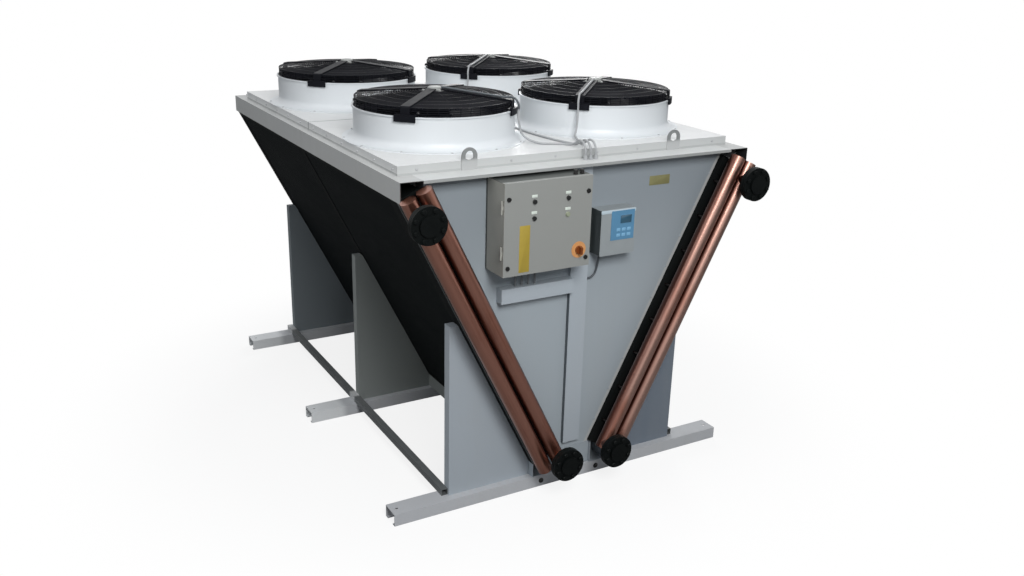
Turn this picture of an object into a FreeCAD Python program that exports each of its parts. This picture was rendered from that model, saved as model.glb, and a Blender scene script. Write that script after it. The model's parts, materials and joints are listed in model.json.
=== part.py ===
import FreeCAD, Part
import math
import os

# Air-cooled condenser with two finned coils leaning outwards as a V under a flat deck of four fans.
# Millimetres, Z up, X across the front end, Y from the front end (headers and cabinet) to the rear.
# All parts are drawn with the front panel's face at y = 0 and moved at the end, so that the
# origin lies on the floor at the centre of the whole machine.

# Overall structure
MODULE_PITCH = 1414.0        # distance between floor rails, one fan module
DECK_HALF_WIDTH = 1135.0
DECK_FRONT = -90.0           # the deck's front edge overhangs the front panel
DECK_OVERRUN = 222.0         # deck longer than the two modules
DECK_TOP = 1995.0            # top of the side rims
RIM_HEIGHT = 110.0
RIM_TOP_STRIP = 48.0         # width of rim that shows beside the fan panels
RIM_LEDGE = 80.0             # width of rim under the fan panels
PANEL_RISE = 50.0            # fan panels stand this far above the rims
PANEL_SETBACK = 147.0        # first fan panel behind the deck's front edge
SEAM_GAP = 6.0
SEAM_ADVANCE = 11.0          # seam of the fan panels in front of the middle legs
REAR_PANEL_SETBACK = 10.0    # rear panel behind the front face of the rear legs
SHEET = 3.0                  # sheet metal of deck, legs and panels
DECK_LIP = 16.0              # turned-down front and rear edges of the deck
BEAM_HEIGHT = 62.0
BEAM_WIDTH = 60.0

# Floor rails, legs and tie bars
RAIL_OVERHANG = 31.0         # rails wider than the deck on each side
RAIL_WIDTH = 125.0
RAIL_HEIGHT = 74.0
RAIL_SHEET = 5.0
RAIL_LIP = 28.0
FIRST_RAIL_FRONT = -21.0
ANCHOR_INSET = 40.0          # anchor holes from the rail ends
ANCHOR_RADIUS = 9.0
RAIL_FACE_HOLE_X = 200.0
RAIL_FACE_HOLE_RADIUS = 8.0
LEG_SETBACK = 48.0           # leg web behind the rail's front face
LEG_INSET = 332.0            # outer edge of the legs inside the deck's edge
LEG_CAP = 52.0               # width of a leg at its top
LEG_FLANGE = 60.0
TIE_SIZE = 40.0
TIE_WALL = 3.0

# Coils
COIL_DEPTH = 140.0           # thickness across the coil
COIL_FOOT_X = 265.0          # lower outer edge of the coil
COIL_FOOT_Z = 165.0
COIL_CLEARANCE = 2.0         # coil's upper outer edge inside the side rim
COIL_FRONT = -33.0
COIL_OVERRUN = 108.0         # coils longer than the two modules
CASING_SHEET = 3.0
CASING_FLANGE = 30.0
END_COVER_DEPTH = 42.0
SILL_DEPTH = 115.0           # sill's inner edge inside the coil's outer one
PLENUM_FLOOR_LIFT = 140.0    # floor between the coils above the rails

# Header pipes and flanges
HEADER_RADIUS = 44.45
HEADER_WALL = 2.5
BRANCH_RADIUS = 40.0
HEADER_Y = -135.0
HEADER_PITCH = 98.0
HEADER_INSET = 6.0           # pair centre inboard of the coil's middle plane
HEADER_CAP_INSET = 12.0      # header's lower end above the coil's
HEADER_OVERRUN = 20.0        # its upper end beyond the coil's
OUTLET_DROP = 180.0          # upper flanges below the deck
INLET_LIFT = 97.0            # lower flanges above the coil's foot
FLANGE_STANDOFF = 105.0      # flanges in front of the headers' axes
FLANGE_THICKNESS = 20.0
FLANGE_RADIUS = 100.0
FLANGE_BOLT_CIRCLE = 160.0
FLANGE_BOLTS = 8
FLANGE_HOLE_RADIUS = 9.0
RAISED_FACE = 2.0
RAISED_FACE_RADIUS = 66.0
BLANK_THICKNESS = 16.0
BLANK_BOSS_RADIUS = 55.0
BLANK_BOSS_HEIGHT = 12.0
FEEDER_RADIUS = 7.0
FEEDERS_PER_HEADER = 8
BRACKET_SHEET = 5.0
BRACKET_HEIGHT = 95.0
BRACKET_INSET = 20.0          # bracket's upper end below the coil's

# Fans
FAN_OUTSET = 16.5            # fan's axis outboard of its half panel's middle
FAN_SETTING = 4.0            # fans' distance less than a module
FAN_GAP = 50.0               # between the feet of two cowls
COWL_HEIGHT = 186.5          # top edge of the cowls above the fan panels
COWL_WALL = 4.0
COWL_FLARE = 45.0
COWL_BEAD = 8.0
COWL_FOOT = 20.0
TIP_GAP = 11.0               # blade tips inside the cowl
IMPELLER_LIFT = 55.0         # lower edge of the impeller hub above the fan panels
HUB_RADIUS = 105.0
HUB_HEIGHT = 78.0
BLADE_COUNT = 7
BLADE_THICKNESS = 5.0
BLADE_CAMBER = 0.07
BLADE_ROOT = 12.0            # blades run this far into the hub
ROOT_CHORD = 105.0
TIP_CHORD = 190.0
ROOT_ANGLE = 40.0            # blade's set at its root and tip, degrees
TIP_ANGLE = 20.0
SWEEP_ANGLE = 16.0           # the tip runs ahead of the root
HUB_FLOOR = 8.0
SHAFT_RADIUS = 15.0
SHAFT_CLEARANCE = 0.05
RUNNING_GAP = 4.0
MOTOR_RADIUS = 88.0
MOTOR_BODY = 90.0
MOTOR_NECK = 46.0
GUARD_WIRE = 5.0
GUARD_RISE = 50.0            # guard's outer ring above the cowl's edge
GUARD_CROWN = 92.0           # guard's cone at its centre above the cowl's edge
GUARD_RINGS = 5
GUARD_SPOKES = 16
GUARD_ARMS = 4
GUARD_HUB_RADIUS = 95.0
ARM_WIDTH = 56.0
ARM_THICKNESS = 6.0
ARM_BEND = 10.0              # outer radius of the arm's knee
CLAMP_SKIRT = 28.0
CLAMP_WIDTH = 120.0
CLAMP_WALL = 10.0
CLAMP_BORE_GAP = 2.0         # clamp's inner leg inside the cowl

# Lifting lugs
LUG_INSET = 409.0            # lug's middle inside the fan panel's side
LUG_WIDTH = 92.0
LUG_HEIGHT = 117.0
LUG_PLATE = 8.0
LUG_EYE_RADIUS = 24.0
LUG_EYE_LIFT = 57.0          # eye's lower edge above the deck
LUG_EYE_RISE = 4.0           # eye's centre above that of the round top

# Control cabinet on the front panel
CABINET_WIDTH = 545.0
CABINET_HEIGHT = 508.0
CABINET_DROP = 32.0          # cabinet's top below the deck's
CABINET_DEPTH = 182.0
CABINET_WALL = 2.5
CABINET_FLANGE = 14.0
PLATE_STANDOFF = 14.0
PLATE_MARGIN = 12.0          # mounting plate inside the box's flange
STANDOFF_RADIUS = 6.0
STANDOFF_INSET = 15.0
DEVICES = 5
DEVICE_DEPTH = 70.0
DEVICE_HEIGHT = 84.0
DEVICE_GAP = 4.0
DEVICE_MARGIN = 30.0         # first and last device from the plate's edge
DIN_RAIL_DEPTH = 8.0
DIN_RAIL_HEIGHT = 36.0
DIN_RAIL_MARGIN = 20.0
DOOR_THICKNESS = 16.0
DOOR_GAP = 1.0
HINGE_RADIUS = 5.0
HINGE_PIN = 2.5
HINGE_STANDOFF = 1.5
HINGE_LENGTH = 72.0
HINGE_INSET = 130.0
LOCK_INSET = 26.0
LOCK_LOW = 49.0
LOCK_HIGH = 85.0
LOCK_RADIUS = 12.0
LOCK_HEAD = 7.0
LOCK_SHANK = 5.0
LOCK_CAM = 4.0
LOCK_REACH = 21.0
LOCK_SLOT = 3.0
LOCK_SLOT_SHARE = 0.7        # slot's length over the head's diameter
FIT = 0.3                    # clearance between moving pieces
SEAT = 0.2                   # clearance between round pieces that rest on each other
KNOB_RADIUS = 23.0
KNOB_BASE = 12.0
KNOB_GRIP = 11.0
KNOB_HEIGHT = 34.0
KNOB_SHANK = 6.0
KNOB_MARGIN = 2.0            # grip bar inside the base's edge
SWITCH_INSET = 73.0          # main switch from the door's right edge
SWITCH_LIFT = 97.0           # and from its lower edge
SWITCH_PLATE_RADIUS = 46.0
BUTTON_LEFT_INSET = 181.0    # buttons from the door's left edge
BUTTON_RIGHT_INSET = 154.0   # from its right edge
BUTTON_DROP = 111.0          # and from its upper edge
BUTTON_PITCH = 90.0
BUTTON_RADIUS = 12.0
BUTTON_DEPTH = 14.0
BUTTON_PROUD = 10.0
BUTTON_STOP = 2.0            # stop ring wider than the button
LAMP_COLLAR = 5.0
LAMP_LENS_INSET = 1.0
LEGEND_PLATE = 2.0

# Controller and cable run on the front panel
CONTROLLER_GAP = 20.0        # controller beside the centre post
CONTROLLER_LIFT = 1.0        # its lower edge above the cabinet's
CONTROLLER_WIDTH = 238.0
CONTROLLER_HEIGHT = 264.0
CONTROLLER_DEPTH = 105.0
CONTROLLER_LID = 46.0
LID_LIP = 3.0
LID_CORNER = 12.0
KEYPAD_WIDTH = 160.0
KEYPAD_HEIGHT = 172.0
KEYPAD_INSET = 8.0
DISPLAY_WIDTH = 82.0
DISPLAY_HEIGHT = 52.0
DISPLAY_SIDE_INSET = 18.0
DISPLAY_TOP_INSET = 26.0
POST_HALF_WIDTH = 58.0
POST_DEPTH = 26.0
POST_FOOT = 43.0             # post starts this far above the front panel's foot
TRAY_HEIGHT = 85.0
TRAY_DEPTH = 60.0
TRAY_DROP = 210.0            # tray's lower edge below the cabinet's
TRAY_INSET = 75.0
CABLE_RADIUS = 6.0
CABLE_ENTRY_INSET = 100.0    # cable entries behind the deck's front edge
CABLE_ENTRY_PITCH = 34.0
FIRST_ENTRY_X = 28.0
LEAD_INSET = 48.0
GLAND_RADIUS = 14.0
GLAND_NUT = 9.0
GLAND_LENGTH = 24.0
GLAND_PITCH = 42.0
GLAND_COLLAR_SHARE = 0.8     # collar's radius over the nut's
TOP_GLAND_INSET = 40.0
LOW_GLAND_INSET = 100.0
TOP_GLANDS = 2
TOP_GLAND_SETBACK = 32.0     # glands on the cabinet behind its mouth
LOW_GLANDS = 4
LOW_GLAND_STANDOFF = 32.0    # glands under the cabinet in front of the panel

# Derived places
COIL_RUN = DECK_HALF_WIDTH - SHEET - COIL_CLEARANCE - COIL_FOOT_X
COIL_HEIGHT = DECK_TOP - RIM_HEIGHT - COIL_FOOT_Z
COIL_ANGLE = math.atan2(COIL_RUN, COIL_HEIGHT)
COIL_SLOPE_LENGTH = math.hypot(COIL_RUN, COIL_HEIGHT)
TAN = math.tan(COIL_ANGLE)
SIN = math.sin(COIL_ANGLE)
COS = math.cos(COIL_ANGLE)
DECK_LENGTH = 2 * MODULE_PITCH + DECK_OVERRUN
DECK_REAR = DECK_FRONT + DECK_LENGTH
PANEL_FRONT = DECK_FRONT + PANEL_SETBACK
PANEL_TOP = DECK_TOP + PANEL_RISE
PANEL_HALF_WIDTH = DECK_HALF_WIDTH - RIM_TOP_STRIP
COIL_LENGTH = 2 * MODULE_PITCH + COIL_OVERRUN
COIL_REAR = COIL_FRONT + COIL_LENGTH
RAIL_HALF_LENGTH = DECK_HALF_WIDTH + RAIL_OVERHANG
LEG_OUTER = DECK_HALF_WIDTH - LEG_INSET
LEG_TOP = COIL_FOOT_Z + (LEG_OUTER - LEG_CAP - COIL_FOOT_X) / TAN
SILL_INNER = COIL_FOOT_X - SILL_DEPTH
PLENUM_FLOOR_Z = RAIL_HEIGHT + PLENUM_FLOOR_LIFT
OUTLET_Z = DECK_TOP - OUTLET_DROP
INLET_Z = COIL_FOOT_Z + INLET_LIFT
FLANGE_BACK = HEADER_Y - FLANGE_STANDOFF
FAN_X = PANEL_HALF_WIDTH / 2 + FAN_OUTSET
FAN_PITCH = MODULE_PITCH - FAN_SETTING
COWL_RADIUS = FAN_X - FAN_GAP / 2 - COWL_FLARE - COWL_FOOT
RIM_Z = PANEL_TOP + COWL_HEIGHT
IMPELLER_TIP = COWL_RADIUS - COWL_WALL - TIP_GAP
IMPELLER_Z = PANEL_TOP + IMPELLER_LIFT
LUG_X = PANEL_HALF_WIDTH - LUG_INSET
LUG_TOP = DECK_TOP + LUG_HEIGHT
LUG_EYE_BASE = DECK_TOP + LUG_EYE_LIFT
RAIL_FRONTS = [FIRST_RAIL_FRONT + i * MODULE_PITCH for i in range(3)]
LEG_FRONTS = [front + LEG_SETBACK for front in RAIL_FRONTS]
REAR_PANEL_Y = LEG_FRONTS[2] + REAR_PANEL_SETBACK
MIDDLE_Y = LEG_FRONTS[1] - SEAM_ADVANCE
PANEL_LENGTH = MIDDLE_Y - SEAM_GAP / 2 - PANEL_FRONT
PANEL_STARTS = [PANEL_FRONT, MIDDLE_Y + SEAM_GAP / 2]
FAN_YS = [MIDDLE_Y - FAN_PITCH / 2, MIDDLE_Y + FAN_PITCH / 2]
FLANGE_FACE = FLANGE_BACK - FLANGE_THICKNESS
BLANK_BACK = FLANGE_FACE - RAISED_FACE
BLANK_FACE = BLANK_BACK - BLANK_THICKNESS
FRONT_END = BLANK_FACE - BLANK_BOSS_HEIGHT
ORIGIN_Y = (FRONT_END + DECK_REAR) / 2
CABINET_RIGHT = -POST_HALF_WIDTH
CABINET_LEFT = CABINET_RIGHT - CABINET_WIDTH
CABINET_TOP = DECK_TOP - CABINET_DROP
CABINET_BOTTOM = CABINET_TOP - CABINET_HEIGHT
CONTROLLER_LEFT = POST_HALF_WIDTH + CONTROLLER_GAP
CONTROLLER_BOTTOM = CABINET_BOTTOM + CONTROLLER_LIFT
TRAY_Z = CABINET_BOTTOM - TRAY_DROP
SWITCH_X = CABINET_RIGHT - SWITCH_INSET
SWITCH_Z = CABINET_BOTTOM + SWITCH_LIFT
BUTTON_LEFT_X = CABINET_LEFT + BUTTON_LEFT_INSET
BUTTON_RIGHT_X = CABINET_RIGHT - BUTTON_RIGHT_INSET
BUTTON_HIGH_Z = CABINET_TOP - BUTTON_DROP
BUTTON_LOW_Z = BUTTON_HIGH_Z - BUTTON_PITCH
TOP_GLAND_Y = -CABINET_DEPTH + TOP_GLAND_SETBACK
LOW_GLAND_Y = -LOW_GLAND_STANDOFF
DOOR_BACK = -CABINET_DEPTH - DOOR_GAP
DOOR_FACE = DOOR_BACK - DOOR_THICKNESS
HINGE_X = CABINET_LEFT - HINGE_RADIUS - HINGE_STANDOFF
HINGE_Y = -CABINET_DEPTH - DOOR_GAP / 2
HINGE_ZS = [CABINET_BOTTOM + HINGE_INSET, CABINET_TOP - HINGE_INSET]
LOCK_PLACES = [("low_left", CABINET_LEFT + LOCK_INSET, CABINET_BOTTOM + LOCK_LOW),
               ("high_left", CABINET_LEFT + LOCK_INSET, CABINET_TOP - LOCK_HIGH),
               ("low_right", CABINET_RIGHT - LOCK_INSET, CABINET_BOTTOM + LOCK_LOW),
               ("high_right", CABINET_RIGHT - LOCK_INSET, CABINET_TOP - LOCK_HIGH)]
BUTTON_PLACES = [("upper_left", BUTTON_LEFT_X, BUTTON_HIGH_Z), ("lower_left", BUTTON_LEFT_X, BUTTON_LOW_Z),
                 ("upper_right", BUTTON_RIGHT_X, BUTTON_HIGH_Z)]
LAMP_PLACE = (BUTTON_RIGHT_X, BUTTON_LOW_Z)
REAR_STRIP = DECK_REAR - PANEL_STARTS[1] - PANEL_LENGTH + RIM_LEDGE
DECK_EDGE = PANEL_HALF_WIDTH - RIM_LEDGE
GUARD_RADIUS = COWL_RADIUS + ARM_THICKNESS / 2 - ARM_BEND - SEAT - GUARD_WIRE / 2
ARM_LIFT = ARM_THICKNESS / 2 + SEAT + GUARD_WIRE * (GUARD_CROWN - GUARD_RISE) / GUARD_RADIUS
CABLE_ENTRIES = [FIRST_ENTRY_X + i * CABLE_ENTRY_PITCH for i in range(3)]
CABLE_ENTRY_Y = DECK_FRONT + CABLE_ENTRY_INSET
OUT = "parts"


def vec(x, y, z):
    return FreeCAD.Vector(x, y, z)


def box(x0, x1, y0, y1, z0, z1):
    return Part.makeBox(x1 - x0, y1 - y0, z1 - z0, vec(x0, y0, z0))


def prism(points, direction):
    """Solid from a closed outline, pushed along a vector."""
    wire = Part.makePolygon(points + [points[0]])
    return Part.Face(wire).extrude(direction)


def prism_y(outline, y0, y1):
    """Outline of (x, z) points pushed from y0 to y1."""
    return prism([vec(x, y0, z) for x, z in outline], vec(0, y1 - y0, 0))


def prism_x(outline, x0, x1):
    """Outline of (y, z) points pushed from x0 to x1."""
    return prism([vec(x0, y, z) for y, z in outline], vec(x1 - x0, 0, 0))


def rod(start, end, radius):
    direction = end - start
    return Part.makeCylinder(radius, direction.Length, start, direction)


def mirrored(shape):
    return shape.mirror(vec(0, 0, 0), vec(1, 0, 0))


def fused(shapes):
    """One piece from shapes that overlap or share faces."""
    first = shapes[0]
    if len(shapes) == 1:
        return first
    return first.fuse(shapes[1:]).removeSplitter()


def cut(shape, tools):
    return shape.cut(tools)


def coil_point(s, d):
    """(x, z) on the right coil: s up the slope, d inwards from its outer face."""
    x = COIL_FOOT_X + s * SIN - d * COS
    z = COIL_FOOT_Z + s * COS + d * SIN
    return x, z


def coil_prism(s0, s1, d0, d1, y0, y1):
    corners = [coil_point(s0, d0), coil_point(s1, d0), coil_point(s1, d1), coil_point(s0, d1)]
    return prism_y(corners, y0, y1)


def coil_foot_height(x):
    """Height of the coil's lower end face above x."""
    return COIL_FOOT_Z + (COIL_FOOT_X - x) * TAN


def inner_line(z):
    """x of the right coil's inner face at a height."""
    x, z0 = coil_point(0, COIL_DEPTH)
    return x + (z - z0) * TAN


def outer_line(z):
    return COIL_FOOT_X + (z - COIL_FOOT_Z) * TAN


def save(name, shape):
    placed = shape.copy()
    placed.translate(vec(0, -ORIGIN_Y, 0))
    for solid in placed.Solids:
        if not solid.isValid() or solid.Volume <= 0:
            print("check", name, "valid", solid.isValid(), "volume", solid.Volume)
    if len(placed.Solids) == 1:
        placed = placed.Solids[0]
    placed.exportStep(os.path.join(OUT, name + ".step"))
    print(name, len(placed.Solids), "solid(s)")


def save_pair(name, right):
    save(name + "_right", right)
    save(name + "_left", mirrored(right))


# Floor rails: lipped channels, open underneath, with anchor holes in the web.
def floor_rail(front):
    w, h, t, lip = RAIL_WIDTH, RAIL_HEIGHT, RAIL_SHEET, RAIL_LIP
    outline = [(0, 0), (lip, 0), (lip, t), (t, t), (t, h - t), (w - t, h - t), (w - t, t),
               (w - lip, t), (w - lip, 0), (w, 0), (w, h), (0, h)]
    rail = prism_x([(front + y, z) for y, z in outline], -RAIL_HALF_LENGTH, RAIL_HALF_LENGTH)
    holes = []
    for side in (-1, 1):
        x = side * (RAIL_HALF_LENGTH - ANCHOR_INSET)
        holes.append(rod(vec(x, front + w / 2, h - 2 * t), vec(x, front + w / 2, h + t), ANCHOR_RADIUS))
        x = side * RAIL_FACE_HOLE_X
        holes.append(rod(vec(x, front - t, h / 2), vec(x, front + 2 * t, h / 2), RAIL_FACE_HOLE_RADIUS))
    return cut(rail, holes)


# Legs: one bent sheet each, a triangular web with a flange along every edge.
def leg(front):
    t = SHEET
    base = RAIL_HEIGHT
    inner_top = outer_line(LEG_TOP)
    web = prism_y([(COIL_FOOT_X, base), (LEG_OUTER, base), (LEG_OUTER, LEG_TOP),
                   (inner_top, LEG_TOP), (COIL_FOOT_X, COIL_FOOT_Z)], front, front + t)
    back = front + LEG_FLANGE
    outer = box(LEG_OUTER - t, LEG_OUTER, front, back, base, LEG_TOP)
    foot = box(COIL_FOOT_X, LEG_OUTER, front, back, base, base + t)
    slope_end = (LEG_TOP - COIL_FOOT_Z) / COS
    seat = prism_y([coil_point(0, 0), coil_point(slope_end, 0),
                    (inner_top + t / COS, LEG_TOP), (COIL_FOOT_X + t / COS, COIL_FOOT_Z)], front, back)
    cap = box(inner_top, LEG_OUTER, front, back, LEG_TOP - t, LEG_TOP)
    return fused([web, outer, foot, seat, cap])


def tie_bar():
    y0 = RAIL_FRONTS[0] + RAIL_WIDTH / 2
    y1 = RAIL_FRONTS[2] + RAIL_WIDTH
    x0, z0, w = LEG_OUTER, RAIL_HEIGHT, TIE_WALL
    bar = box(x0, x0 + TIE_SIZE, y0, y1, z0, z0 + TIE_SIZE)
    hollow = box(x0 + w, x0 + TIE_SIZE - w, y0 - w, y1 + w, z0 + w, z0 + TIE_SIZE - w)
    return cut(bar, [hollow])


# Sills carry the coils' lower ends on the floor rails.
def sill():
    t = SHEET
    x0, x1, z0 = SILL_INNER, COIL_FOOT_X - t, RAIL_HEIGHT
    outline = [(x0, z0), (x1, z0), (x1, coil_foot_height(x1)), (x1 - t, coil_foot_height(x1 - t)),
               (x1 - t, z0 + t), (x0 + t, z0 + t), (x0 + t, coil_foot_height(x0 + t)),
               (x0, coil_foot_height(x0))]
    return prism_y(outline, RAIL_FRONTS[0], RAIL_FRONTS[2] + RAIL_WIDTH)


def plenum_floor():
    t, x, z = SHEET, SILL_INNER, PLENUM_FLOOR_Z
    outline = [(-x, RAIL_HEIGHT), (-x + t, RAIL_HEIGHT), (-x + t, z), (x - t, z), (x - t, RAIL_HEIGHT),
               (x, RAIL_HEIGHT), (x, z + t), (-x, z + t)]
    return prism_y(outline, 0, REAR_PANEL_Y + SHEET)


# Coils: a block of fins in a sheet casing of end plates, top and bottom channels.
def coil_fins():
    c = CASING_SHEET
    return coil_prism(c, COIL_SLOPE_LENGTH - c, c, COIL_DEPTH - c, COIL_FRONT + c, COIL_REAR - c)


def coil_casing():
    c, f, s1, d1 = CASING_SHEET, CASING_FLANGE, COIL_SLOPE_LENGTH, COIL_DEPTH
    front_flange_end = LEG_FRONTS[0] + LEG_FLANGE + c
    rear_flange_start = LEG_FRONTS[2] - c
    stretches = [(COIL_FRONT, front_flange_end), (LEG_FRONTS[1], LEG_FRONTS[1] + LEG_FLANGE),
                 (rear_flange_start, COIL_REAR)]
    pieces = [coil_prism(0, s1, 0, d1, COIL_FRONT, COIL_FRONT + c),
              coil_prism(0, s1, 0, d1, COIL_REAR - c, COIL_REAR)]
    for y0, y1 in stretches:
        pieces.append(coil_prism(0, s1, 0, c, y0, y1))
        pieces.append(coil_prism(0, s1, d1 - c, d1, y0, y1))
    for low, high in ((0, 1), (s1, -1)):
        end = sorted((low, low + high * c))
        lip = sorted((low, low + high * f))
        pieces.append(coil_prism(end[0], end[1], 0, d1, COIL_FRONT, COIL_REAR))
        pieces.append(coil_prism(lip[0], lip[1], 0, c, COIL_FRONT, COIL_REAR))
        pieces.append(coil_prism(lip[0], lip[1], d1 - c, d1, COIL_FRONT, COIL_REAR))
    return fused(pieces)


def coil_end_cover():
    """Sheet box over the return bends at the rear."""
    c, s1, d1 = CASING_SHEET, COIL_SLOPE_LENGTH, COIL_DEPTH
    y1 = COIL_REAR + END_COVER_DEPTH
    outer = coil_prism(c, s1 - c, c, d1 - c, COIL_REAR, y1)
    hollow = coil_prism(2 * c, s1 - 2 * c, 2 * c, d1 - 2 * c, COIL_REAR - c, y1 - c)
    return cut(outer, [hollow])


# Headers: two parallel pipes in front of each coil, each with a flanged branch facing forwards.
def header_offset(outer):
    middle = COIL_DEPTH / 2 + HEADER_INSET
    return middle - HEADER_PITCH / 2 if outer else middle + HEADER_PITCH / 2


def header_axis(outer, s):
    x, z = coil_point(s, header_offset(outer))
    return vec(x, HEADER_Y, z)


def branch_point(outer):
    """Where the branch leaves the header, on the header's axis."""
    d = header_offset(outer)
    height = OUTLET_Z if outer else INLET_Z
    s = (height - COIL_FOOT_Z - d * SIN) / COS
    return header_axis(outer, s)


def header(outer):
    """Closed pipe with its branch and the feeders to the coil, each cut to a saddle where they meet."""
    low = header_axis(outer, HEADER_CAP_INSET)
    high = header_axis(outer, COIL_SLOPE_LENGTH + HEADER_OVERRUN)
    start = branch_point(outer)
    end = vec(start.x, FLANGE_FACE, start.z)
    w = HEADER_WALL
    along = (high - low).normalize()
    bore = rod(start, end + vec(0, -w, 0), BRANCH_RADIUS - w)
    saddle = rod(low, high, HEADER_RADIUS + SEAT)
    pipe = cut(rod(low, high, HEADER_RADIUS), [rod(low + along * w, high - along * w, HEADER_RADIUS - w), bore])
    pieces = [pipe, cut(rod(start, end, BRANCH_RADIUS), [saddle, bore])]
    step = (COIL_SLOPE_LENGTH - 2 * HEADER_RADIUS) / FEEDERS_PER_HEADER
    for i in range(FEEDERS_PER_HEADER):
        foot = header_axis(outer, HEADER_RADIUS + (i + 0.5) * step)
        pieces.append(cut(rod(foot, vec(foot.x, COIL_FRONT, foot.z), FEEDER_RADIUS), [saddle]))
    return Part.makeCompound(pieces)


def bolt_circle(centre, back, face):
    holes = []
    for i in range(FLANGE_BOLTS):
        angle = math.radians(360.0 / FLANGE_BOLTS * (i + 0.5))
        x = centre.x + FLANGE_BOLT_CIRCLE / 2 * math.cos(angle)
        z = centre.z + FLANGE_BOLT_CIRCLE / 2 * math.sin(angle)
        holes.append(rod(vec(x, back + 1, z), vec(x, face - 1, z), FLANGE_HOLE_RADIUS))
    return holes


def pipe_flange(outer):
    """Flange with a raised sealing face, seated on the end of its branch pipe."""
    c = branch_point(outer)
    ring = rod(vec(c.x, FLANGE_BACK, c.z), vec(c.x, FLANGE_FACE, c.z), FLANGE_RADIUS)
    face = rod(vec(c.x, FLANGE_FACE, c.z), vec(c.x, BLANK_BACK, c.z), RAISED_FACE_RADIUS)
    pipe = rod(vec(c.x, FLANGE_BACK + 1, c.z), vec(c.x, FLANGE_FACE, c.z), BRANCH_RADIUS)
    bore = rod(vec(c.x, FLANGE_BACK + 1, c.z), vec(c.x, BLANK_BACK - 1, c.z), BRANCH_RADIUS - HEADER_WALL)
    return cut(fused([ring, face]), [pipe, bore] + bolt_circle(c, FLANGE_BACK, FLANGE_FACE))


def blank_cover(outer):
    c = branch_point(outer)
    disc = rod(vec(c.x, BLANK_BACK, c.z), vec(c.x, BLANK_FACE, c.z), FLANGE_RADIUS)
    boss = rod(vec(c.x, BLANK_FACE, c.z), vec(c.x, FRONT_END, c.z), BLANK_BOSS_RADIUS)
    return cut(fused([disc, boss]), bolt_circle(c, BLANK_BACK, BLANK_FACE))


# A T-shaped bracket on the coil's end plate steadies the upper ends of each header pair between them.
def header_bracket():
    t = BRACKET_SHEET
    s1 = COIL_SLOPE_LENGTH - BRACKET_INSET
    s0 = s1 - BRACKET_HEIGHT
    middle = (header_offset(True) + header_offset(False)) / 2
    fin = coil_prism(s0, s1, middle - t / 2, middle + t / 2, HEADER_Y, COIL_FRONT)
    back = coil_prism(s0, s1, header_offset(True), header_offset(False), COIL_FRONT - t, COIL_FRONT)
    return fused([fin, back])


# Front and rear panels close the V; the front one is stiffened by a hollow centre post.
def v_panel(y0):
    t = SHEET
    low = PLENUM_FLOOR_Z + t
    x_foot, z_foot = coil_point(0, COIL_DEPTH)
    high = DECK_TOP - t
    shoulder = z_foot + (DECK_EDGE - x_foot) / TAN
    right = [(x_foot, low), (x_foot, z_foot), (DECK_EDGE, shoulder), (DECK_EDGE, high)]
    left = [(-x, z) for x, z in reversed(right)]
    return prism_y(right + left, y0, y0 + t)


def centre_post():
    x, t, y = POST_HALF_WIDTH, SHEET, -POST_DEPTH
    low = PLENUM_FLOOR_Z + SHEET + POST_FOOT
    high = DECK_TOP - SHEET - DECK_LIP
    outer = box(-x, x, y, 0, low, high)
    hollow = box(-x + t, x - t, y + t, t, low + t, high - t)
    return cut(outer, [hollow])


def partition():
    """Sheet between the two fan modules, hung from the cross beam."""
    t = SHEET
    low = PLENUM_FLOOR_Z + t
    z_foot = coil_point(0, COIL_DEPTH)[1]
    high = DECK_TOP - BEAM_HEIGHT
    x_low = inner_line(z_foot)
    x_high = inner_line(high)
    outline = [(-x_low, low), (x_low, low), (x_low, z_foot), (x_high, high), (-x_high, high),
               (-x_low, z_foot)]
    return prism_y(outline, MIDDLE_Y - t / 2, MIDDLE_Y + t / 2)


# Deck: side rims, front and rear strips, a cross beam and two raised fan panels.
def deck_rim():
    t, x, z = SHEET, DECK_HALF_WIDTH, DECK_TOP
    ledge = DECK_EDGE
    seat = coil_point(COIL_SLOPE_LENGTH, 0)

    def seat_height(at):
        return seat[1] + (seat[0] - at) * TAN

    outline = [(x, z), (x, z - RIM_HEIGHT), (x - t, z - RIM_HEIGHT), (x - t, z - t),
               (ledge + t, z - t), (ledge + t, seat_height(ledge + t)), (ledge, seat_height(ledge)),
               (ledge, z)]
    return prism_y(outline, DECK_FRONT, DECK_REAR)


def deck_strip(y_edge, y_inner):
    """Flat strip at an end of the deck with its edge turned down."""
    t, x = SHEET, DECK_EDGE
    lip = sorted((y_edge, y_edge + (t if y_inner > y_edge else -t)))
    y0, y1 = sorted((y_edge, y_inner))
    top = box(-x, x, y0, y1, DECK_TOP - t, DECK_TOP)
    edge = box(-x, x, lip[0], lip[1], DECK_TOP - DECK_LIP, DECK_TOP)
    return fused([top, edge])


def cross_beam():
    t, w, x = SHEET, BEAM_WIDTH, DECK_EDGE
    y0, y1, z0 = MIDDLE_Y - w / 2, MIDDLE_Y + w / 2, DECK_TOP - BEAM_HEIGHT
    outline = [(y0, DECK_TOP), (y1, DECK_TOP), (y1, z0), (y0, z0)]
    hollow = [(y0 + t, DECK_TOP - t), (y1 - t, DECK_TOP - t), (y1 - t, z0 + t), (y0 + t, z0 + t)]
    beam = prism_x(outline, -x, x)
    coil = coil_prism(0, COIL_SLOPE_LENGTH, 0, COIL_DEPTH, y0 - t, y1 + t)
    return cut(beam, [prism_x(hollow, -x - t, x + t), coil, mirrored(coil)])


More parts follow.
